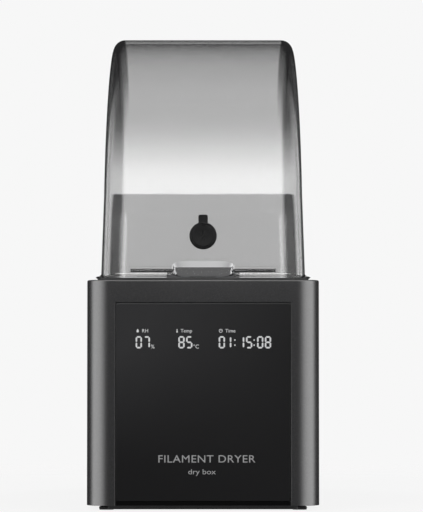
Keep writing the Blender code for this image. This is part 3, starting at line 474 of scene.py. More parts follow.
def dark_glass():
    """The display panel: a smoked sheet with a painted sheen: its colour is made lighter towards its upper
    left, standing in for a faint slow reflection.
    """
    f = Finish("smoked_panel", "black_glass")
    cloud = f.noise(9.0, 2.0)
    film = f.noise(600.0, 2.0)
    position = f.add("ShaderNodeTexCoord", output="Object")
    split = f.add("ShaderNodeSeparateXYZ", {}, {0: position})
    across, up = Signal(f, split.socket.node.outputs["X"]), Signal(f, split.socket.node.outputs["Z"])
    # Painted reflection: the base colour is lightened towards the top and the left, where a reflection would
    # fall.
    painted_sheen = f.smooth_step(up, 0.0, 0.098) ** 1.6 * (0.68 - 13.0 * across)
    shade = f.mix_colour(cloud, (0.0085, 0.0085, 0.009), (0.012, 0.012, 0.0125))
    return f.set(
        Base_Color=f.mix_colour(painted_sheen, shade, (0.034, 0.034, 0.0355)),
        Roughness=0.1 + cloud * 0.04,
        Specular_IOR_Level=0.25,
        Normal=f.bump(film, 0.05, 0.004),
    )


def smoky_clear():
    """The lid's polished smoky plastic: darker where it is seen along its surface."""
    f = Finish("smoky_clear_plastic", "smoke_clear")
    grazing = f.add("ShaderNodeLayerWeight", {}, {"Blend": 0.5}, output="Facing")
    outer = f.add("ShaderNodeAttribute", {"attribute_name": "outer_skin"}, output="Fac")
    edge = f.add("ShaderNodeAttribute", {"attribute_name": "rounded_edge"}, output="Fac")
    solid = 0.5 * edge * f.smooth_step(grazing, 0.28, 0.62)
    ripple = f.noise(22.0, 2.0)
    haze = f.noise(6.0, 2.0)
    return f.set(
        Base_Color=f.mix_colour(haze, (0.016, 0.016, 0.017), (0.024, 0.024, 0.025)),
        Roughness=0.035 + haze * 0.02,
        IOR=2.0,
        Specular_IOR_Level=1.0,
        Alpha=0.185 + haze * 0.01 + (0.42 + 0.36 * outer) * grazing**6.0 + solid,
        Normal=f.bump(ripple, 0.02, 0.03),
    )


def soft_rubber(name="soft_rubber", colour=(0.012, 0.012, 0.0125), roughness=0.62, specular=0.3):
    f = Finish(name, "rubber")
    bloom = f.noise(60.0, 4.0)
    grain = f.noise(1500.0, 3.0)
    return f.set(
        Base_Color=f.mix_colour(bloom, scaled(colour, 0.8), scaled(colour, 1.5)),
        Roughness=roughness + (bloom - 0.5) * 0.14,
        Specular_IOR_Level=specular,
        Normal=f.bump(grain, 0.3, 0.02),
    )


def worked_metal(name, slot, colour, roughness, stretch, strength=0.15, metallic=1.0):
    """Metal with fine lines drawn along one axis and a little smudging."""
    f = Finish(name, slot)
    lines = f.noise(260.0, 4.0, stretch)
    smudge = f.noise(35.0, 3.0)
    return f.set(
        Base_Color=f.mix_colour(lines, scaled(colour, 0.86), scaled(colour, 1.08)),
        Metallic=metallic,
        Roughness=roughness + (lines - 0.5) * 0.12 + (smudge - 0.5) * 0.1,
        Normal=f.bump(lines, strength, 0.012),
    )


def blasted_silver():
    """The latch's bead-blasted, clear-anodised surface."""
    f = Finish("blasted_silver", "latch_metal")
    beads = f.speckle(3200.0)
    cloud = f.noise(50.0, 3.0)
    return f.set(
        Base_Color=f.mix_colour(cloud, (0.78, 0.78, 0.79), (0.88, 0.88, 0.89)),
        Metallic=1.0,
        Roughness=0.035 + beads * 0.02,
        Normal=f.bump(beads, 0.02, 0.006),
    )


def board_laminate():
    """Solder mask over copper: tracks show as slightly lighter lines on a square pitch."""
    f = Finish("green_board", "circuit_board")
    settings = {"offset": 0.37, "squash": 1.6, "squash_frequency": 3}
    sockets = {"Vector": f.place(), "Scale": 260.0, "Mortar Size": 0.09}
    sockets |= {"Brick Width": 1.7, "Row Height": 0.42}
    tracks = f.add("ShaderNodeTexBrick", settings, sockets, output="Fac")
    weave = f.noise(900.0, 2.0)
    return f.set(
        Base_Color=f.mix_colour(tracks, (0.012, 0.075, 0.035), (0.03, 0.16, 0.075)),
        Roughness=0.38 + weave * 0.12,
        Normal=f.bump(tracks + weave * 0.3, 0.3, 0.03),
    )


def ribbon():
    f = Finish("ribbon_cable", "ribbon_cable")
    cores = f.add("ShaderNodeTexWave", {"bands_direction": "X"}, {"Vector": f.place(), "Scale": 160.0})
    return f.set(
        Base_Color=f.mix_colour(cores, (0.30, 0.31, 0.33), (0.5, 0.51, 0.53)),
        Roughness=0.5 + cores * 0.1,
        Normal=f.bump(cores, 0.5, 0.15),
    )


def milky_tube():
    f = Finish("milky_tube", "clear_tube")
    cloud = f.noise(120.0, 3.0)
    return f.set(
        Base_Color=f.mix_colour(cloud, (0.62, 0.62, 0.60), (0.74, 0.74, 0.72)),
        Roughness=0.32 + cloud * 0.1,
        Coat_Weight=0.2 + cloud * 0.1,
    )


def lit_segment():
    """Display light seen through the smoked panel: even, with a faint fall-off inside each bar."""
    f = Finish("display_light", "black_glass")
    glow = f.noise(700.0, 2.0)
    level = f.mix_colour(glow, (0.40, 0.405, 0.41), (0.56, 0.565, 0.57))
    return f.set(
        Base_Color=(0.02, 0.02, 0.02),
        Roughness=0.5 + glow * 0.1,
        Emission_Color=level,
        Emission_Strength=1.0,
    )


def printed_grey():
    """Light grey ink printed on the panel."""
    f = Finish("printed_grey", "black_glass")
    ink = f.noise(2600.0, 3.0)
    return f.set(
        Base_Color=f.mix_colour(ink, (0.17, 0.17, 0.175), (0.24, 0.24, 0.245)),
        Roughness=0.45 + ink * 0.1,
    )


SATIN_COAT = coated_metal("satin_dark_coat", "dark_shell")
SATIN_PLINTH = coated_metal("satin_plinth", "black_plastic")
PANEL_GLASS = dark_glass()
LID_CLEAR = smoky_clear()
BLACK_PLASTIC = moulded("textured_black_plastic", "black_plastic", (0.02, 0.02, 0.021), 0.46)
GREY_PLASTIC = moulded("matte_grey_plastic", "grey_liner", (0.10, 0.10, 0.105), 0.55, 0.7)
NYLON = moulded("white_nylon", "nylon", (0.62, 0.61, 0.57), 0.42, 0.35, 0.015, 0.06)
RUBBER = soft_rubber()
PLUG_RUBBER = soft_rubber("plug_rubber", (0.0045, 0.0045, 0.0047), 0.42, 0.07)
# Painted shadow: an almost black, matt material for the strip under the display panel, where the gap is only
# in shade.
SHADOW_GAP_BLACK = soft_rubber("shadow_gap_black", (0.0018, 0.0018, 0.0019), 0.9, 0.02)
SILVER = blasted_silver()
HINGE_METAL = worked_metal("black_hinge_metal", "hinge_metal", (0.05, 0.05, 0.052), 0.4, (1, 6, 6), 0.1, 0.7)
BLACK_STEEL = worked_metal("blackened_steel", "steel", (0.02, 0.02, 0.021), 0.35, (1, 9, 9), 0.1, 0.3)
STEEL = worked_metal("ground_steel", "steel", (0.46, 0.46, 0.48), 0.28, (1, 9, 9))
ALUMINIUM = worked_metal("brushed_aluminium", "aluminium", (0.62, 0.63, 0.64), 0.36, (9, 1, 9))
BRASS = worked_metal("machined_brass", "brass", (0.62, 0.46, 0.20), 0.32, (9, 9, 1))
BOARD = board_laminate()
RIBBON = ribbon()
TUBE = milky_tube()
LIGHT_BARS = lit_segment()
PANEL_INK = printed_grey()


# ---------------------------------------------------------------- casing
def housing_shell():
    """The drawn metal case: round corner columns, a deck with its opening, and the rebate for the panel."""
    (x0, y0, z0), (x1, y1, z1) = HOUSING_LOW, HOUSING_HIGH
    bm = rounded_block((x0, x1), (y0, y1), (z0, z1), 2, COLUMN_RADIUS, 20)
    top = [edge for edge in bm.edges if min(vert.co.z for vert in edge.verts) > z1 - 0.01]
    bevel(bm, top, 0.7, 4)

    deck_under = z1 - DECK
    inside_x, inside_y = x1 - SIDE_WALL, y1 - END_WALL
    sides, ends = (-inside_x, inside_x), (-inside_y, inside_y)
    hollow = rounded_block(sides, ends, (z0 - 5, deck_under), 2, HOUSING_INNER_RADIUS)
    open_x, open_y = DECK_OPENING
    sides, ends = (-open_x, open_x), (-open_y, open_y)
    opening = rounded_block(sides, ends, (deck_under - 2, z1 + 2), 2, HOUSING_INNER_RADIUS)
    bm = cut(bm, hollow, opening, seal_band(SEAL_LOW.z - FIT_GAP, z1 + 1, FIT_GAP))

    edge = PANEL_HIGH.x + FIT_GAP
    rebate = new_block((-edge, edge), (y0 - 1, y0 + PANEL_REBATE), (z0 - 2, PANEL_HIGH.z + FIT_GAP))
    bm = cut(bm, rebate)

    window = new_block((-WINDOW_X, WINDOW_X), (y0 - 1, y0 + END_WALL + 1), WINDOW_Z)
    rear = new_block((-REAR_X, REAR_X), (y1 - END_WALL - 1, y1 + 1), REAR_Z)
    hook_slot = new_block((-HOOK_SLOT_X, HOOK_SLOT_X), HOOK_SLOT_Y, (deck_under - 1, z1 + 1))
    bm = cut(bm, window, rear, hook_slot)
    for side in (-1, 1):
        lug_x = tuple(side * edge for edge in LUG_SLOT_X)
        lug = new_block(lug_x, (LUG_SLOT_FRONT, inside_y), (deck_under - 1, z1 + 1))
        bm = cut(bm, lug)
    finish_piece("housing_shell", bm, SATIN_COAT, ["outer_housing"], 0.22, 2)


def seal_band(bottom, top, spread):
    """A closed band along the lid's rim, wider than the seal by spread on each side."""
    outer_x, outer_radius = SEAL_HIGH.x + spread, SEAL_RADIUS + spread
    y = (SEAL_LOW.y - spread, SEAL_HIGH.y + spread)
    outer = rounded_block((-outer_x, outer_x), y, (bottom, top), 2, outer_radius)
    step = SEAL_WIDTH + 2 * spread
    inner_x = outer_x - step
    hole_y = (y[0] + step, y[1] - step)
    hole = rounded_block((-inner_x, inner_x), hole_y, (bottom - 1, top + 1), 2, outer_radius - step)
    return cut(outer, hole)


def rim_seal():
    """The rubber seal: a rounded band with two fine sealing ribs along its top."""
    band = seal_band(SEAL_LOW.z, SEAL_HIGH.z, 0.0)
    groove = seal_band(SEAL_HIGH.z - 0.35, SEAL_HIGH.z + 1, -0.75)
    finish_piece("rim_seal_lip", cut(band, groove), RUBBER, ["rim_seal"], 0.25, 3)


def plinth():
    """The bottom cover with its rim, posts, vents and bosses, and four screw heads let into it."""
    softened("bottom_cover", SATIN_PLINTH, 0.35, 2)
    head_profile = [(0.01, 0.0), (2.6, 0.0), (3.0, 0.3), (3.0, 0.55), (0.01, 0.55)]
    for side, across in ((-1, "left"), (1, "right")):
        for end, along in ((-1, "front"), (1, "rear")):
            centre = (side * SCREW_X, end * SCREW_Y)
            head = turned("Z", centre, head_profile, 32)
            screw = cut(head, rod("Z", centre, SCREW_SOCKET, -0.5, 0.3, 6))
            bmesh.ops.translate(screw, verts=screw.verts, vec=(0, 0, COVER_LOW.z - SCREW_SUNK))
            finish_piece(f"cover_screw_{along}_{across}", screw, STEEL, [], body="base")


def feet():
    """Four rubber pads with a chamfered rim and two grip grooves underneath."""
    for end in ("front", "rear"):
        for side in ("left", "right"):
            node = f"rubber_foot_{end}_{side}"
            low, high = corners(node)
            bm = rounded_block((low.x, high.x), (low.y, high.y), (low.z, high.z), 2, FOOT_RADIUS)
            middle = (low + high) / 2
            for vert in bm.verts:
                if vert.co.z < low.z + 0.01:
                    vert.co.x = middle.x + (vert.co.x - middle.x) * FOOT_TAPER
                    vert.co.y = middle.y + (vert.co.y - middle.y) * FOOT_TAPER
            groove_x = (low.x + FOOT_GROOVE_INSET, high.x - FOOT_GROOVE_INSET)
            for row in (-FOOT_GROOVE_ROW, FOOT_GROOVE_ROW):
                groove_y = (middle.y + row - FOOT_GROOVE_HALF, middle.y + row + FOOT_GROOVE_HALF)
                bm = cut(bm, new_block(groove_x, groove_y, (-1, FOOT_GROOVE_TOP)))
            finish_piece(f"foot_pad_{end}_{side}", bm, RUBBER, [node], 0.2, 2)


# ---------------------------------------------------------------- display
SEGMENTS = {
    "0": "abcdef",
    "1": "bc",
    "5": "acdfg",
    "7": "abc",
    "8": "abcdefg",
}


def bar(bm, middle, length, thick, upright, depth):
    """One display bar: a thin plate with pointed ends."""
    half, reach = thick / 2, length / 2
    across = [(-reach, 0), (-reach + half, -half), (reach - half, -half)]
    across += [(reach, 0), (reach - half, half), (-reach + half, half)]
    if upright:
        across = [(-v, u) for u, v in across]
    face = bm.faces.new([bm.verts.new((middle[0] + u, depth[0], middle[1] + v)) for u, v in across])
    pushed = bmesh.ops.extrude_face_region(bm, geom=[face])["geom"]
    verts = [item for item in pushed if isinstance(item, bmesh.types.BMVert)]
    bmesh.ops.translate(bm, verts=verts, vec=(0, depth[1] - depth[0], 0))


def digit(bm, character, x, z, width, height, depth):
    """A seven-bar digit with its lower left corner at x, z."""
    thick = height * 0.13
    tall, wide = (height - thick) / 2, width - thick
    left, right, low = x + thick / 2, x + width - thick / 2, z + thick / 2
    centre = x + width / 2
    places = {
        "a": ((centre, low + 2 * tall), wide, False),
        "g": ((centre, low + tall), wide, False),
        "d": ((centre, low), wide, False),
        "f": ((left, low + 1.5 * tall), tall, True),
        "b": ((right, low + 1.5 * tall), tall, True),
        "e": ((left, low + 0.5 * tall), tall, True),
        "c": ((right, low + 0.5 * tall), tall, True),
    }
    for segment in SEGMENTS[character]:
        middle, length, upright = places[segment]
        bar(bm, middle, length * 0.93, thick, upright, depth)


def words(name, text, x, z, height, finish, spread=1.0, gap=1.0, bold=0.0):
    """A line of plain lettering on the panel's face: cap height, and width against height, as given."""
    curve = bpy.data.curves.new(name, "FONT")
    curve.body = text
    curve.size = height / 0.7
    curve.space_character = gap
    curve.offset = bold
    curve.extrude = 0.02
    curve.resolution_u = 4
    made = bpy.data.objects.new(name, curve)
    bpy.context.collection.objects.link(made)
    drawn = bpy.data.meshes.new_from_object(made.evaluated_get(bpy.context.evaluated_depsgraph_get()))
    bm = bmesh.new()
    bm.from_mesh(drawn)
    bpy.data.objects.remove(made)
    bpy.data.curves.remove(curve)
    bpy.data.meshes.remove(drawn)
    stand_up = Matrix.Rotation(math.pi / 2, 4, "X")
    place = Matrix.Translation((x, PANEL_LOW.y - 0.03, z)) @ Matrix.Diagonal((spread, 1, 1, 1)) @ stand_up
    bmesh.ops.transform(bm, matrix=place, verts=bm.verts)
    bmesh.ops.recalc_face_normals(bm, faces=bm.faces)
    return finish_piece(name, bm, finish, [], body="base")


def display():
    """The panel with a near-black strip under it that paints the shadow in the gap there, and its readings,
    labels, icons and caption.
    """
    (x0, y0, z0), (x1, y1, z1) = PANEL_LOW, PANEL_HIGH
    panel = rounded_block((x0, x1), (y0, y1), (z0, z1), 1, 1.2, 4)
    finish_piece("display_glass", panel, PANEL_GLASS, ["display_panel"], 0.35, 3)
    # A near-black strip fills the gap below the panel as a painted shadow.
    strip_z = (HOUSING_LOW.z + 0.15, z0 - 0.1)
    strip = rounded_block((x0 + 0.3, x1 - 0.3), (y0 + 0.35, y0 + 1.25), strip_z, 0, 0.3, 3)
    finish_piece("shadow_gap_strip", strip, SHADOW_GAP_BLACK, [], body="base")

    depth = (y0 - 0.045, y0 - 0.012)
    readings = {
        "humidity_reading": ((-32.9, "0"), (-29.0, "7")),
        "temperature_reading": ((-12.1, "8"), (-8.3, "5")),
        "time_reading": ((7.6, "0"), (10.7, "1"), (17.0, "1"), (20.9, "5"), (26.3, "0"), (30.1, "8")),
    }
    for name, digits in readings.items():
        bm = bmesh.new()
        for x, character in digits:
            digit(bm, character, x, READING_BASE, DIGIT_WIDTH, DIGIT_HEIGHT, depth)
        if name == "time_reading":
            for x in (15.5, 24.9):
                for z in (READING_BASE + 1.6, READING_BASE + 4.1):
                    add_block(bm, (x - 0.3, x + 0.3), depth, (z - 0.35, z + 0.35))
        bmesh.ops.recalc_face_normals(bm, faces=bm.faces)
        finish_piece(name, bm, LIGHT_BARS, [], body="base")

    words("percent_mark", "%", -25.5, READING_BASE, MARK_HEIGHT, LIGHT_BARS)
    words("degree_mark", "°C", -4.9, READING_BASE, MARK_HEIGHT, LIGHT_BARS)
    words("humidity_label", "RH", -29.9, LABEL_BASE, LABEL_HEIGHT, LIGHT_BARS)
    words("temperature_label", "Temp", -11.0, LABEL_BASE, LABEL_HEIGHT, LIGHT_BARS)
    words("time_label", "Time", 10.8, LABEL_BASE, LABEL_HEIGHT, LIGHT_BARS)
    small_icons(depth)
    words("front_caption", "FILAMENT DRYER", -22.2, 23.3, 3.6, PANEL_INK, 1.12, 1.06)
    words("front_subcaption", "dry box", -7.4, 17.6, 2.5, PANEL_INK, 1.2, 1.0, 0.002)


def small_icons(depth):
    """A drop, a thermometer and a clock, each a plain shape beside its label."""
    z = 87.4
    drop = rod("Y", (-31.9, z - 0.2), 0.6, *depth, 20)
    for vert in drop.verts:
        if vert.co.z > z + 0.3:
            vert.co.z += 0.5
    stem = rounded_block((-12.9, -12.5), depth, (z - 0.3, z + 0.9), 1, 0.15, 3)
    bulb = rod("Y", (-12.7, z - 0.5), 0.42, *depth, 16)
    clock = cut(rod("Y", (8.6, z), 0.9, *depth, 28), rod("Y", (8.6, z), 0.66, depth[0] - 1, depth[1] + 1, 28))
    hands = new_block((8.5, 8.7), depth, (z, z + 0.5))
    reach = new_block((8.7, 9.0), depth, (z, z + 0.18))
    finish_piece("display_icons", add_all(drop, stem, bulb, clock, hands, reach), LIGHT_BARS, [], body="base")


# ---------------------------------------------------------------- lid
def lid_half_width(z):
    below = min(z, LID_SPRING_LINE) - LID_WIDTH_AT
    above = max(z - LID_SPRING_LINE, 0.0)
    return LID_HALF_WIDTH - LID_DRAFT * below - LID_UPPER_DRAFT * above


def lid_form(inset, bottom, fillet, steps):
    """The lid's outer form, or its inside when inset by the wall: flat ends under an elliptic arch."""
    bm = bmesh.new()
    bmesh.ops.create_circle(bm, cap_ends=True, radius=1.0, segments=144, matrix=TURN_TO["X"])
    rise = LID_HIGH.z - LID_SPRING_LINE - inset
    size = Matrix.Diagonal((1.0, LID_HALF_DEPTH - inset, rise, 1.0))
    bmesh.ops.transform(bm, matrix=Matrix.Translation((-1, 0, LID_SPRING_LINE)) @ size, verts=bm.verts)
    everything = bm.verts[:] + bm.edges[:] + bm.faces[:]
    level = {"plane_co": (0, 0, LID_SPRING_LINE), "plane_no": (0, 0, 1)}
    bmesh.ops.bisect_plane(bm, geom=everything, dist=0.0001, clear_inner=True, **level)
    rim = [edge for edge in bm.edges if max(vert.co.z for vert in edge.verts) < LID_SPRING_LINE + 0.01]
    skirt = bmesh.ops.extrude_edge_only(bm, edges=rim)["geom"]
    lower = [item for item in skirt if isinstance(item, bmesh.types.BMVert)]
    bmesh.ops.translate(bm, verts=lower, vec=(0, 0, bottom - LID_SPRING_LINE))
    pushed = bmesh.ops.extrude_face_region(bm, geom=bm.faces[:])["geom"]
    far = [item for item in pushed if isinstance(item, bmesh.types.BMVert)]
    bmesh.ops.translate(bm, verts=far, vec=(2, 0, 0))
    for vert in bm.verts:
        vert.co.x *= lid_half_width(vert.co.z) - inset
    bmesh.ops.recalc_face_normals(bm, faces=bm.faces)
    rims = []
    for edge in bm.edges:
        along_side = edge.verts[0].co.x * edge.verts[1].co.x > 0
        across_side = abs(edge.verts[0].co.y - edge.verts[1].co.y) > LID_HALF_DEPTH
        if along_side and not across_side and max(vert.co.z for vert in edge.verts) > bottom + 0.1:
            rims.append(edge)
    bevel(bm, rims, fillet, steps)
    return bm


def lid_foot():
    """The concave flare that spreads the lid's wall onto the rim seal."""
    reach = LID_FLARE_TOP - LID_LOW.z
    levels = [(LID_LOW.z, LID_FLARE)]
    for step in range(1, 7):
        angle = math.pi / 2 * step / 6
        levels.append((LID_FLARE_TOP - reach * math.cos(angle) + 0.35, LID_FLARE * (1 - math.sin(angle))))
    half_x, half_y = lid_half_width(LID_LOW.z) + LID_FLARE, LID_HALF_DEPTH + LID_FLARE
    z = (LID_LOW.z - 0.5, LID_LOW.z)
    bm = rounded_block((-half_x, half_x), (-half_y, half_y), z, 2, LID_FILLET + LID_FLARE, 10)
    bmesh.ops.recalc_face_normals(bm, faces=bm.faces)
    top = max(bm.faces, key=lambda face: face.calc_center_median().z)
    for height, spread in levels[1:]:
        pushed = bmesh.ops.extrude_face_region(bm, geom=[top])["geom"]
        verts = [item for item in pushed if isinstance(item, bmesh.types.BMVert)]
        new_x, new_y = lid_half_width(height) + spread - 0.02, LID_HALF_DEPTH + spread - 0.02
        now_x, now_y = max(vert.co.x for vert in verts), max(vert.co.y for vert in verts)
        for vert in verts:
            vert.co.x *= new_x / now_x
            vert.co.y *= new_y / now_y
            vert.co.z = height
        old = top
        top = next(item for item in pushed if isinstance(item, bmesh.types.BMFace))
        if old.is_valid:
            bmesh.ops.delete(bm, geom=[old], context="FACES_ONLY")
    bmesh.ops.recalc_face_normals(bm, faces=bm.faces)
    return cut(bm, new_block((-80, 80), (-160, 160), (LID_LOW.z - 3, LID_LOW.z)))


def lid_cover():
    """The smoky dome, with its latch recess, pivot bosses, seal land and plug hole."""
    bottom = LID_LOW.z
    bm = join(lid_form(0.0, bottom, LID_FILLET, 8), lid_foot())
    bm = cut(bm, lid_form(LID_WALL, bottom - 4, LID_FILLET - LID_WALL, 8))
    land_x = lid_half_width(bottom) - LID_WALL + OVERLAP
    land_y = (SEAL_LAND_FRONT, LID_HALF_DEPTH - LID_WALL + OVERLAP)
    bm = join(bm, new_block((-land_x, land_x), land_y, (bottom, bottom + SEAL_LAND_HEIGHT)))
    rod_y, rod_z = LATCH_AXIS
    for side in (-1, 1):
        x = sorted(side * edge for edge in BOSS_X)
        y = (-LID_HALF_DEPTH + LID_WALL - OVERLAP, rod_y + BOSS_DEPTH)
        boss = rounded_block(x, y, (rod_z - BOSS_HALF_HEIGHT, rod_z + BOSS_HALF_HEIGHT), 0, 0.5, 3)
        bm = join(bm, boss)
    for opening in LID_OPENINGS.values():
        bm = cut(bm, new_block(*opening))
    bm = cut(bm, rod("Y", PLUG_CENTRE, PLUG_HOLE, -140, -130, 40))
    inner, outer = ROD_BORE_X
    for low, high in ((-outer, -inner), (inner, outer)):
        bm = cut(bm, rod("X", LATCH_AXIS, ROD_BORE, low, high, 20))
    dome = finish_piece("lid_dome", bm, LID_CLEAR, ["lid_shell"], crease=30)
    mark_skin(dome.data)


def mark_skin(mesh):
    """Stores where the lid's outer skin is, and its rounded edges, for the depth of the smoke there."""
    outer = mesh.attributes.new("outer_skin", "FLOAT", "POINT")
    rounded = mesh.attributes.new("rounded_edge", "FLOAT", "POINT")
    middle = Vector((0.0, 0.0, LID_SPRING_LINE * MM))
    for vert in mesh.vertices:
        outward = vert.normal.dot(vert.co - middle) > 0
        across = abs(vert.normal.x)
        outer.data[vert.index].value = float(outward)
        rounded.data[vert.index].value = float(outward and 0.12 < across < 0.98)


def latch():
    """The silver tab: a flat face under a sloping top, rounded ends, and the hook behind it."""
    axis_y = LATCH_AXIS[0]
    half = LATCH_HIGH.x
    side = [(-137.7, 121.5), (-139.9, 118.4), (-139.9, 114.7)]
    side += [(-139.3, 113.9), (-137.3, 113.9), (-137.3, 119.0)]
    bm = push_outline("X", side, -half, half)
    long_edges = [edge for edge in bm.edges if runs_along(edge, 0)]
    bmesh.ops.subdivide_edges(bm, edges=long_edges, cuts=31, use_grid_fill=True)
    top_dip, foot_rise = 1.5, 0.9
    upper_taper, lower_taper = 0.93, 0.885
    for vert in bm.verts:
        share = abs(vert.co.x) / half
        round_off = 1 - math.sqrt(max(1 - share**5, 0.0))
        if vert.co.z > 121:
            vert.co.z -= top_dip * round_off
        if vert.co.y < -139:
            vert.co.x *= upper_taper if vert.co.z > 118 else lower_taper
        if vert.co.z < 115:
            vert.co.z += foot_rise * round_off
    barrel_profile = [(ROD_BORE, -10.8), (1.6, -10.8), (2.0, -10.4)]
    barrel_profile += [(2.0, 10.4), (1.6, 10.8), (ROD_BORE, 10.8)]
    barrel = turned("X", LATCH_AXIS, barrel_profile, 40)
    web = new_block((-10.8, 10.8), (-137.9, axis_y - 0.9), (115.4, 118.8))
    outline = [(-133.4, 116.6), (-133.4, 105.9), (-131.2, 105.9), (-130.6, 106.6)]
    outline += [(-130.6, 107.6), (-132.0, 107.6), (-132.0, 116.6)]
    hook = push_outline("X", outline, -6.5, 6.5)
    bm = join(bm, web, barrel, hook)
    bm = cut(bm, rod("X", LATCH_AXIS, ROD_BORE, -16, 16, 24))
    finish_piece("latch_tab", bm, SILVER, ["lid_latch"], 0.18, 3, 30)


def latch_rod():
    """The thin dark rod that the latch turns on, chamfered at its ends."""
    profile = [(0.01, -35.5), (0.5, -35.5), (0.7, -35.3), (0.7, 35.3), (0.5, 35.5), (0.01, 35.5)]
    finish_piece("latch_rod", turned("X", LATCH_AXIS, profile, 24), BLACK_STEEL, ["latch_pivot_rod"])


def spring():
    """The latch spring as a round-wire coil round the rod."""
    curve = bpy.data.curves.new("latch_spring_coil", "CURVE")
    curve.dimensions = "3D"
    curve.bevel_depth = 0.25 * MM
    curve.bevel_resolution = 3
    curve.use_fill_caps = True
    low, high = corners("latch_spring")
    turns, per_turn = 4, 24
    line = curve.splines.new("POLY")
    line.points.add(turns * per_turn)
    for index, point in enumerate(line.points):
        angle = 2 * math.pi * index / per_turn
        along = low.x + 0.3 + (high.x - low.x - 0.6) * index / (turns * per_turn)
        y, z = LATCH_AXIS[0] + 1.35 * math.cos(angle), LATCH_AXIS[1] + 1.35 * math.sin(angle)
        point.co = (along * MM, y * MM, z * MM, 1.0)
    made = bpy.data.objects.new("latch_spring_coil", curve)
    bpy.context.collection.objects.link(made)
    curve.materials.append(STEEL)
    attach(made, "lid")
    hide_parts("latch_spring")


def plug():
    """The bypass plug: a domed rubber button with a rim groove and a pull tab."""
    y, z = PLUG_LOW.y, PLUG_CENTRE[1]
    profile = [(0.01, y + 0.25), (3.2, y + 0.12), (4.9, y), (5.35, y + 0.05), (5.55, y + 0.3)]
    profile += [(5.75, y + 0.3), (5.95, y + 0.05), (6.3, y + 0.1), (6.6, y + 0.35), (6.7, y + 0.8)]
    profile += [(6.7, y + 1.6), (6.5, y + 1.8), (4.4, y + 1.8), (4.4, y + 6.0)]
    profile += [(3.8, y + 6.8), (0.01, y + 6.8)]
    bm = turned("Y", PLUG_CENTRE, profile, 72)
    tab = rounded_block((-2.3, 2.3), (y + 0.3, y + 1.7), (z + 5.0, z + 10.3), 1, 0.9, 4)
    bm = join(bm, tab)
    for row in range(3):
        low = z + 7.4 + row
        bm = cut(bm, new_block((-1.6, 1.6), (y - 1, y + 0.45), (low, low + 0.4)))
    finish_piece("plug_button", bm, PLUG_RUBBER, ["bypass_plug"], 0.12, 2, 40)


# ---------------------------------------------------------------- pieces that keep the CAD shape
def carried_pieces():
    """Pieces that keep the CAD shape: some with softened edges, the rest only with their finish."""
    rounded_nodes = {
        "base_hinge_bracket": (HINGE_METAL, 0.3),
        "lid_hinge_leaf": (HINGE_METAL, 0.3),
        "hinge_pin": (STEEL, 0.3),
        "latch_catch": (STEEL, 0.2),
        "power_inlet": (BLACK_PLASTIC, 0.25),
        "signal_port_left": (BLACK_PLASTIC, 0.15),
        "signal_port_right": (BLACK_PLASTIC, 0.15),
        "exhaust_flap": (BLACK_PLASTIC, 0.15),
        "flap_motor": (BLACK_PLASTIC, 0.3),
        "inner_liner": (GREY_PLASTIC, 0.3),
        "rear_panel": (BLACK_PLASTIC, 0.25),
        "desiccant_box": (NYLON, 0.25),
        "desiccant_cap": (GREY_PLASTIC, 0.2),
        "humidity_sensor": (BOARD, 0.1),
        "roller_gear": (NYLON, 0.15),
        "roller_pinion": (BRASS, 0.15),
        "blower_impeller": (BLACK_PLASTIC, 0.15),
        "feeder_housing": (BLACK_PLASTIC, 0.3),
        "feeder_cover": (GREY_PLASTIC, 0.2),
        "air_duct": (BLACK_PLASTIC, 0.2),
    }
    for node, (finish, width) in rounded_nodes.items():
        softened(node, finish, width)
    plain_nodes = {
        "display_board": BOARD,
        "display_cable": RIBBON,
        "blower_housing": BLACK_PLASTIC,
        "blower_motor": STEEL,
        "heater_block": ALUMINIUM,
        "roller_motor": STEEL,
        "feeder_drive_gear": BRASS,
        "feeder_idler_gear": BRASS,
        "feeder_motor": STEEL,
        "filament_tube": TUBE,
        "main_board": BOARD,
        "power_supply": ALUMINIUM,
        "spool_tag_reader": BOARD,
    }
    for node, finish in plain_nodes.items():
        slots = frame["nodes"][node].data.materials
        slots.clear()
        slots.append(finish)


def cross_centre(node):
    """Where a node's middle lies across the X axis."""
    low, high = corners(node)
    return (low.y + high.y) / 2, (low.z + high.z) / 2


def tyre(node, name):
    """A tyre with softened shoulders and grooves round its tread."""
    low, high = corners(node)
    radius, bore, grooves = (high.z - low.z) / 2, 5.3, 4
    profile = [(bore, low.x), (radius - 1.0, low.x), (radius - 0.3, low.x + 0.3), (radius, low.x + 1.0)]
    pitch = (high.x - low.x - 2.6) / grooves
    for groove in range(grooves):
        start = low.x + 1.3 + groove * pitch
        profile += [(radius, start + 0.5), (radius - 0.5, start + 0.8)]
        profile += [(radius - 0.5, start + 1.2), (radius, start + 1.5)]
    profile += [(radius, high.x - 1.0), (radius - 0.3, high.x - 0.3), (radius - 1.0, high.x), (bore, high.x)]
    finish_piece(name, turned("X", cross_centre(node), profile, 72), RUBBER, [node])


def bearing(node, name, centre):
    """A bearing with a shallow groove between its two races on each face."""
    low, high = corners(node)
    outer = (high.z - low.z) / 2
    profile = [(2.8, low.x), (3.8, low.x), (3.9, low.x + 0.4), (5.2, low.x + 0.4), (5.3, low.x)]
    profile += [(outer - 0.2, low.x), (outer, low.x + 0.2), (outer, high.x - 0.2), (outer - 0.2, high.x)]
    profile += [(5.3, high.x), (5.2, high.x - 0.4), (3.9, high.x - 0.4), (3.8, high.x), (2.8, high.x)]
    finish_piece(name, turned("X", centre, profile, 56), STEEL, [node])


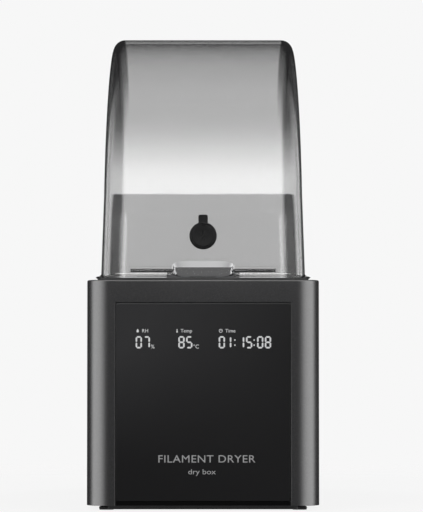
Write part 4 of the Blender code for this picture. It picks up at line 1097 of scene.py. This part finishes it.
def axle(node, name, centre):
    """A roller shaft with a thicker seat under each tyre."""
    low, high = corners(node)
    thin, seat, chamfer, core = 2.5, 5.0, 4.8, 0.6
    steps = [(low.x, core), (low.x, 2.2), (low.x + 0.3, thin), (-36, thin), (-36, chamfer), (-35.8, seat)]
    steps += [(-26.2, seat), (-26, chamfer), (-26, thin), (26, thin), (26, chamfer), (26.2, seat)]
    steps += [(35.8, seat), (36, chamfer), (36, thin), (high.x - 0.3, thin), (high.x, 2.2), (high.x, core)]
    bm = turned("X", centre, [(radius, along) for along, radius in steps], 48)
    finish_piece(name, bm, STEEL, [node])


def rollers():
    for end in ("front", "rear"):
        for across in ("left", "right"):
            node = f"{end}_tyre_{across}"
            tyre(node, f"{end}_tread_{across}")
            bearing(f"{end}_bearing_{across}", f"{end}_race_{across}", cross_centre(node))
        axle(f"{end}_roller_shaft", f"{end}_roller_axle", cross_centre(f"{end}_tyre_right"))


def funnel():
    """The inlet funnel, rounded over its rim and down its throat."""
    low, high = corners("inlet_funnel")
    centre = ((low.x + high.x) / 2, (low.y + high.y) / 2)
    profile = [(1.5, 98.3), (2.8, 98.3), (3.0, 98.5), (3.0, 104.0), (6.4, 109.0), (6.4, 109.6)]
    profile += [(8.4, 109.6), (8.6, 109.8), (8.6, 110.4), (8.3, 110.9), (7.2, 111.4), (6.4, 111.35)]
    profile += [(5.6, 110.9), (4.2, 108.4), (2.6, 105.2), (1.5, 103.0)]
    finish_piece("funnel_mouth", turned("Z", centre, profile, 64), NYLON, ["inlet_funnel"])


def outlet():
    """The rear outlet's fitting and the release ring in it."""
    centre = ((OUTLET_LOW.x + OUTLET_HIGH.x) / 2, (OUTLET_LOW.z + OUTLET_HIGH.z) / 2)
    profile = [(2.3, 124.0), (4.8, 124.0), (5.0, 124.2), (5.0, 136.6), (7.3, 136.6), (7.5, 136.8)]
    profile += [(7.5, 137.3), (7.2, 137.6), (4.1, 137.6), (3.8, 137.3), (3.8, 132.0), (2.3, 132.0)]
    finish_piece("outlet_fitting", turned("Y", centre, profile, 64), BLACK_PLASTIC, ["outlet_coupler"])
    profile = [(2.1, 133.6), (3.4, 133.6), (3.4, 138.9), (4.6, 138.9), (4.8, 139.1)]
    profile += [(4.8, 139.6), (4.6, 139.8), (2.5, 139.8), (2.1, 139.4)]
    finish_piece("collet_ring", turned("Y", centre, profile, 64), NYLON, ["outlet_collet"])


# ---------------------------------------------------------------- stage, light and camera
def floor():
    """A pale round floor that fades into the backdrop."""
    bm = bmesh.new()
    bmesh.ops.create_circle(bm, cap_ends=True, radius=700.0, segments=96)
    bmesh.ops.scale(bm, verts=bm.verts, vec=(MM, MM, MM))
    mesh = bpy.data.meshes.new("floor")
    bm.to_mesh(mesh)
    bm.free()
    made = bpy.data.objects.new("floor", mesh)
    made.visible_glossy = False
    bpy.context.collection.objects.link(made)
    material = bpy.data.materials.new("pale_floor")
    material.use_nodes = True
    nodes = Nodes(material.node_tree)
    nodes.tree.nodes.remove(nodes.tree.nodes["Principled BSDF"])
    position = nodes.add("ShaderNodeTexCoord", output="Object")
    reach = nodes.add("ShaderNodeVectorMath", {"operation": "LENGTH"}, {0: position}, output="Value")
    fade = nodes.smooth_step(reach, 0.28, 0.62)
    glow = nodes.add("ShaderNodeEmission", {}, {"Color": (0.86, 0.86, 0.86, 1.0), "Strength": 1.0})
    matt = nodes.add("ShaderNodeBsdfDiffuse", {}, {"Color": (0.07, 0.07, 0.07, 1.0)})
    both = nodes.add("ShaderNodeAddShader", {}, {0: glow, 1: matt})
    clear = nodes.add("ShaderNodeBsdfTransparent")
    blend = nodes.add("ShaderNodeMixShader", {}, {0: fade, 1: both, 2: clear})
    nodes.feed(nodes.tree.nodes["Material Output"].inputs["Surface"], blend)
    mesh.materials.append(material)


BACKDROP = 0.930


def surroundings():
    """A studio round the box: pale where seen directly; for gloss, bright panels above a dark band."""
    world = bpy.data.worlds.new("studio")
    bpy.context.scene.world = world
    world.use_nodes = True
    nodes = Nodes(world.node_tree)
    direction = nodes.add("ShaderNodeTexCoord", output="Generated")
    split = nodes.add("ShaderNodeSeparateXYZ", {}, {0: direction})
    x, y, z = (Signal(nodes, split.socket.node.outputs[axis]) for axis in "XYZ")
    across = nodes.add("ShaderNodeMath", {"operation": "ABSOLUTE"}, {0: x})
    level = (x * x + y * y + 0.0001) ** 0.5
    to_side = nodes.smooth_step(across / level, 0.40, 0.92) * nodes.smooth_step(z, -0.14, -0.06)
    above = nodes.smooth_step(z, 0.074, 0.098)
    ahead = 1 - nodes.smooth_step(y, -0.05, 0.45)
    bright = ahead * nodes.add("ShaderNodeMath", {"operation": "MAXIMUM"}, {0: to_side, 1: above})
    stops = [(0.0, 1.0), (0.30, 1.0), (0.47, 0.885), (0.695, 0.555)]
    stops += [(0.80, 0.375), (0.875, 0.235), (0.94, 0.1), (1.0, 0.03)]
    fade = nodes.ramp(z, stops)
    gloss = 6.4 * bright * fade + 0.1 * ahead + 0.025
    seen = nodes.add("ShaderNodeLightPath", output="Is Camera Ray")
    strength = seen * BACKDROP + (1 - seen) * gloss
    background = nodes.tree.nodes["Background"]
    nodes.feed(background.inputs["Color"], (1.0, 1.0, 1.0, 1.0))
    nodes.feed(background.inputs["Strength"], strength)
    world.cycles_visibility.diffuse = False


def soft_light(name, place, aim, size, power):
    light = bpy.data.lights.new(name, "AREA")
    light.shape = "SQUARE"
    light.size = size
    light.energy = power
    made = bpy.data.objects.new(name, light)
    made.location = place
    made.rotation_mode = "QUATERNION"
    made.rotation_quaternion = (Vector(aim) - Vector(place)).to_track_quat("-Z", "Y")
    made.visible_camera = False
    made.visible_glossy = False
    bpy.context.collection.objects.link(made)


def lights():
    centre = (0.0, 0.0, 0.12)
    soft_light("key", (-1.3, -1.9, 1.7), centre, 1.4, 22.0)
    soft_light("fill", (1.8, -1.5, 1.1), centre, 1.6, 20.0)
    soft_light("rear_left", (-1.6, 1.9, 1.3), centre, 1.6, 24.0)
    soft_light("rear_right", (1.6, 1.7, 1.5), centre, 1.6, 24.0)
    soft_light("overhead", (0.0, 0.2, 2.4), centre, 1.8, 26.0)


def camera():
    """A level-ish long lens a little below the deck's height, square to the front."""
    data = bpy.data.cameras.new("camera")
    data.lens = 197.5
    data.sensor_width = 36.0
    data.clip_end = 20.0
    made = bpy.data.objects.new("camera", data)
    front = HOUSING_LOW.y * MM
    place = Vector((0.0, front - 1.370, 0.065))
    aim = Vector((0.0041, front, 0.1239))
    made.location = place
    made.rotation_euler = (aim - place).to_track_quat("-Z", "Y").to_euler()
    bpy.context.collection.objects.link(made)
    bpy.context.scene.camera = made


bpy.context.scene.view_settings.view_transform = "Standard"
bpy.context.scene.view_settings.look = "None"

camera()
housing_shell()
rim_seal()
plinth()
feet()
display()
lid_cover()
latch()
latch_rod()
spring()
plug()
carried_pieces()
rollers()
funnel()
outlet()
floor()
surroundings()
lights()
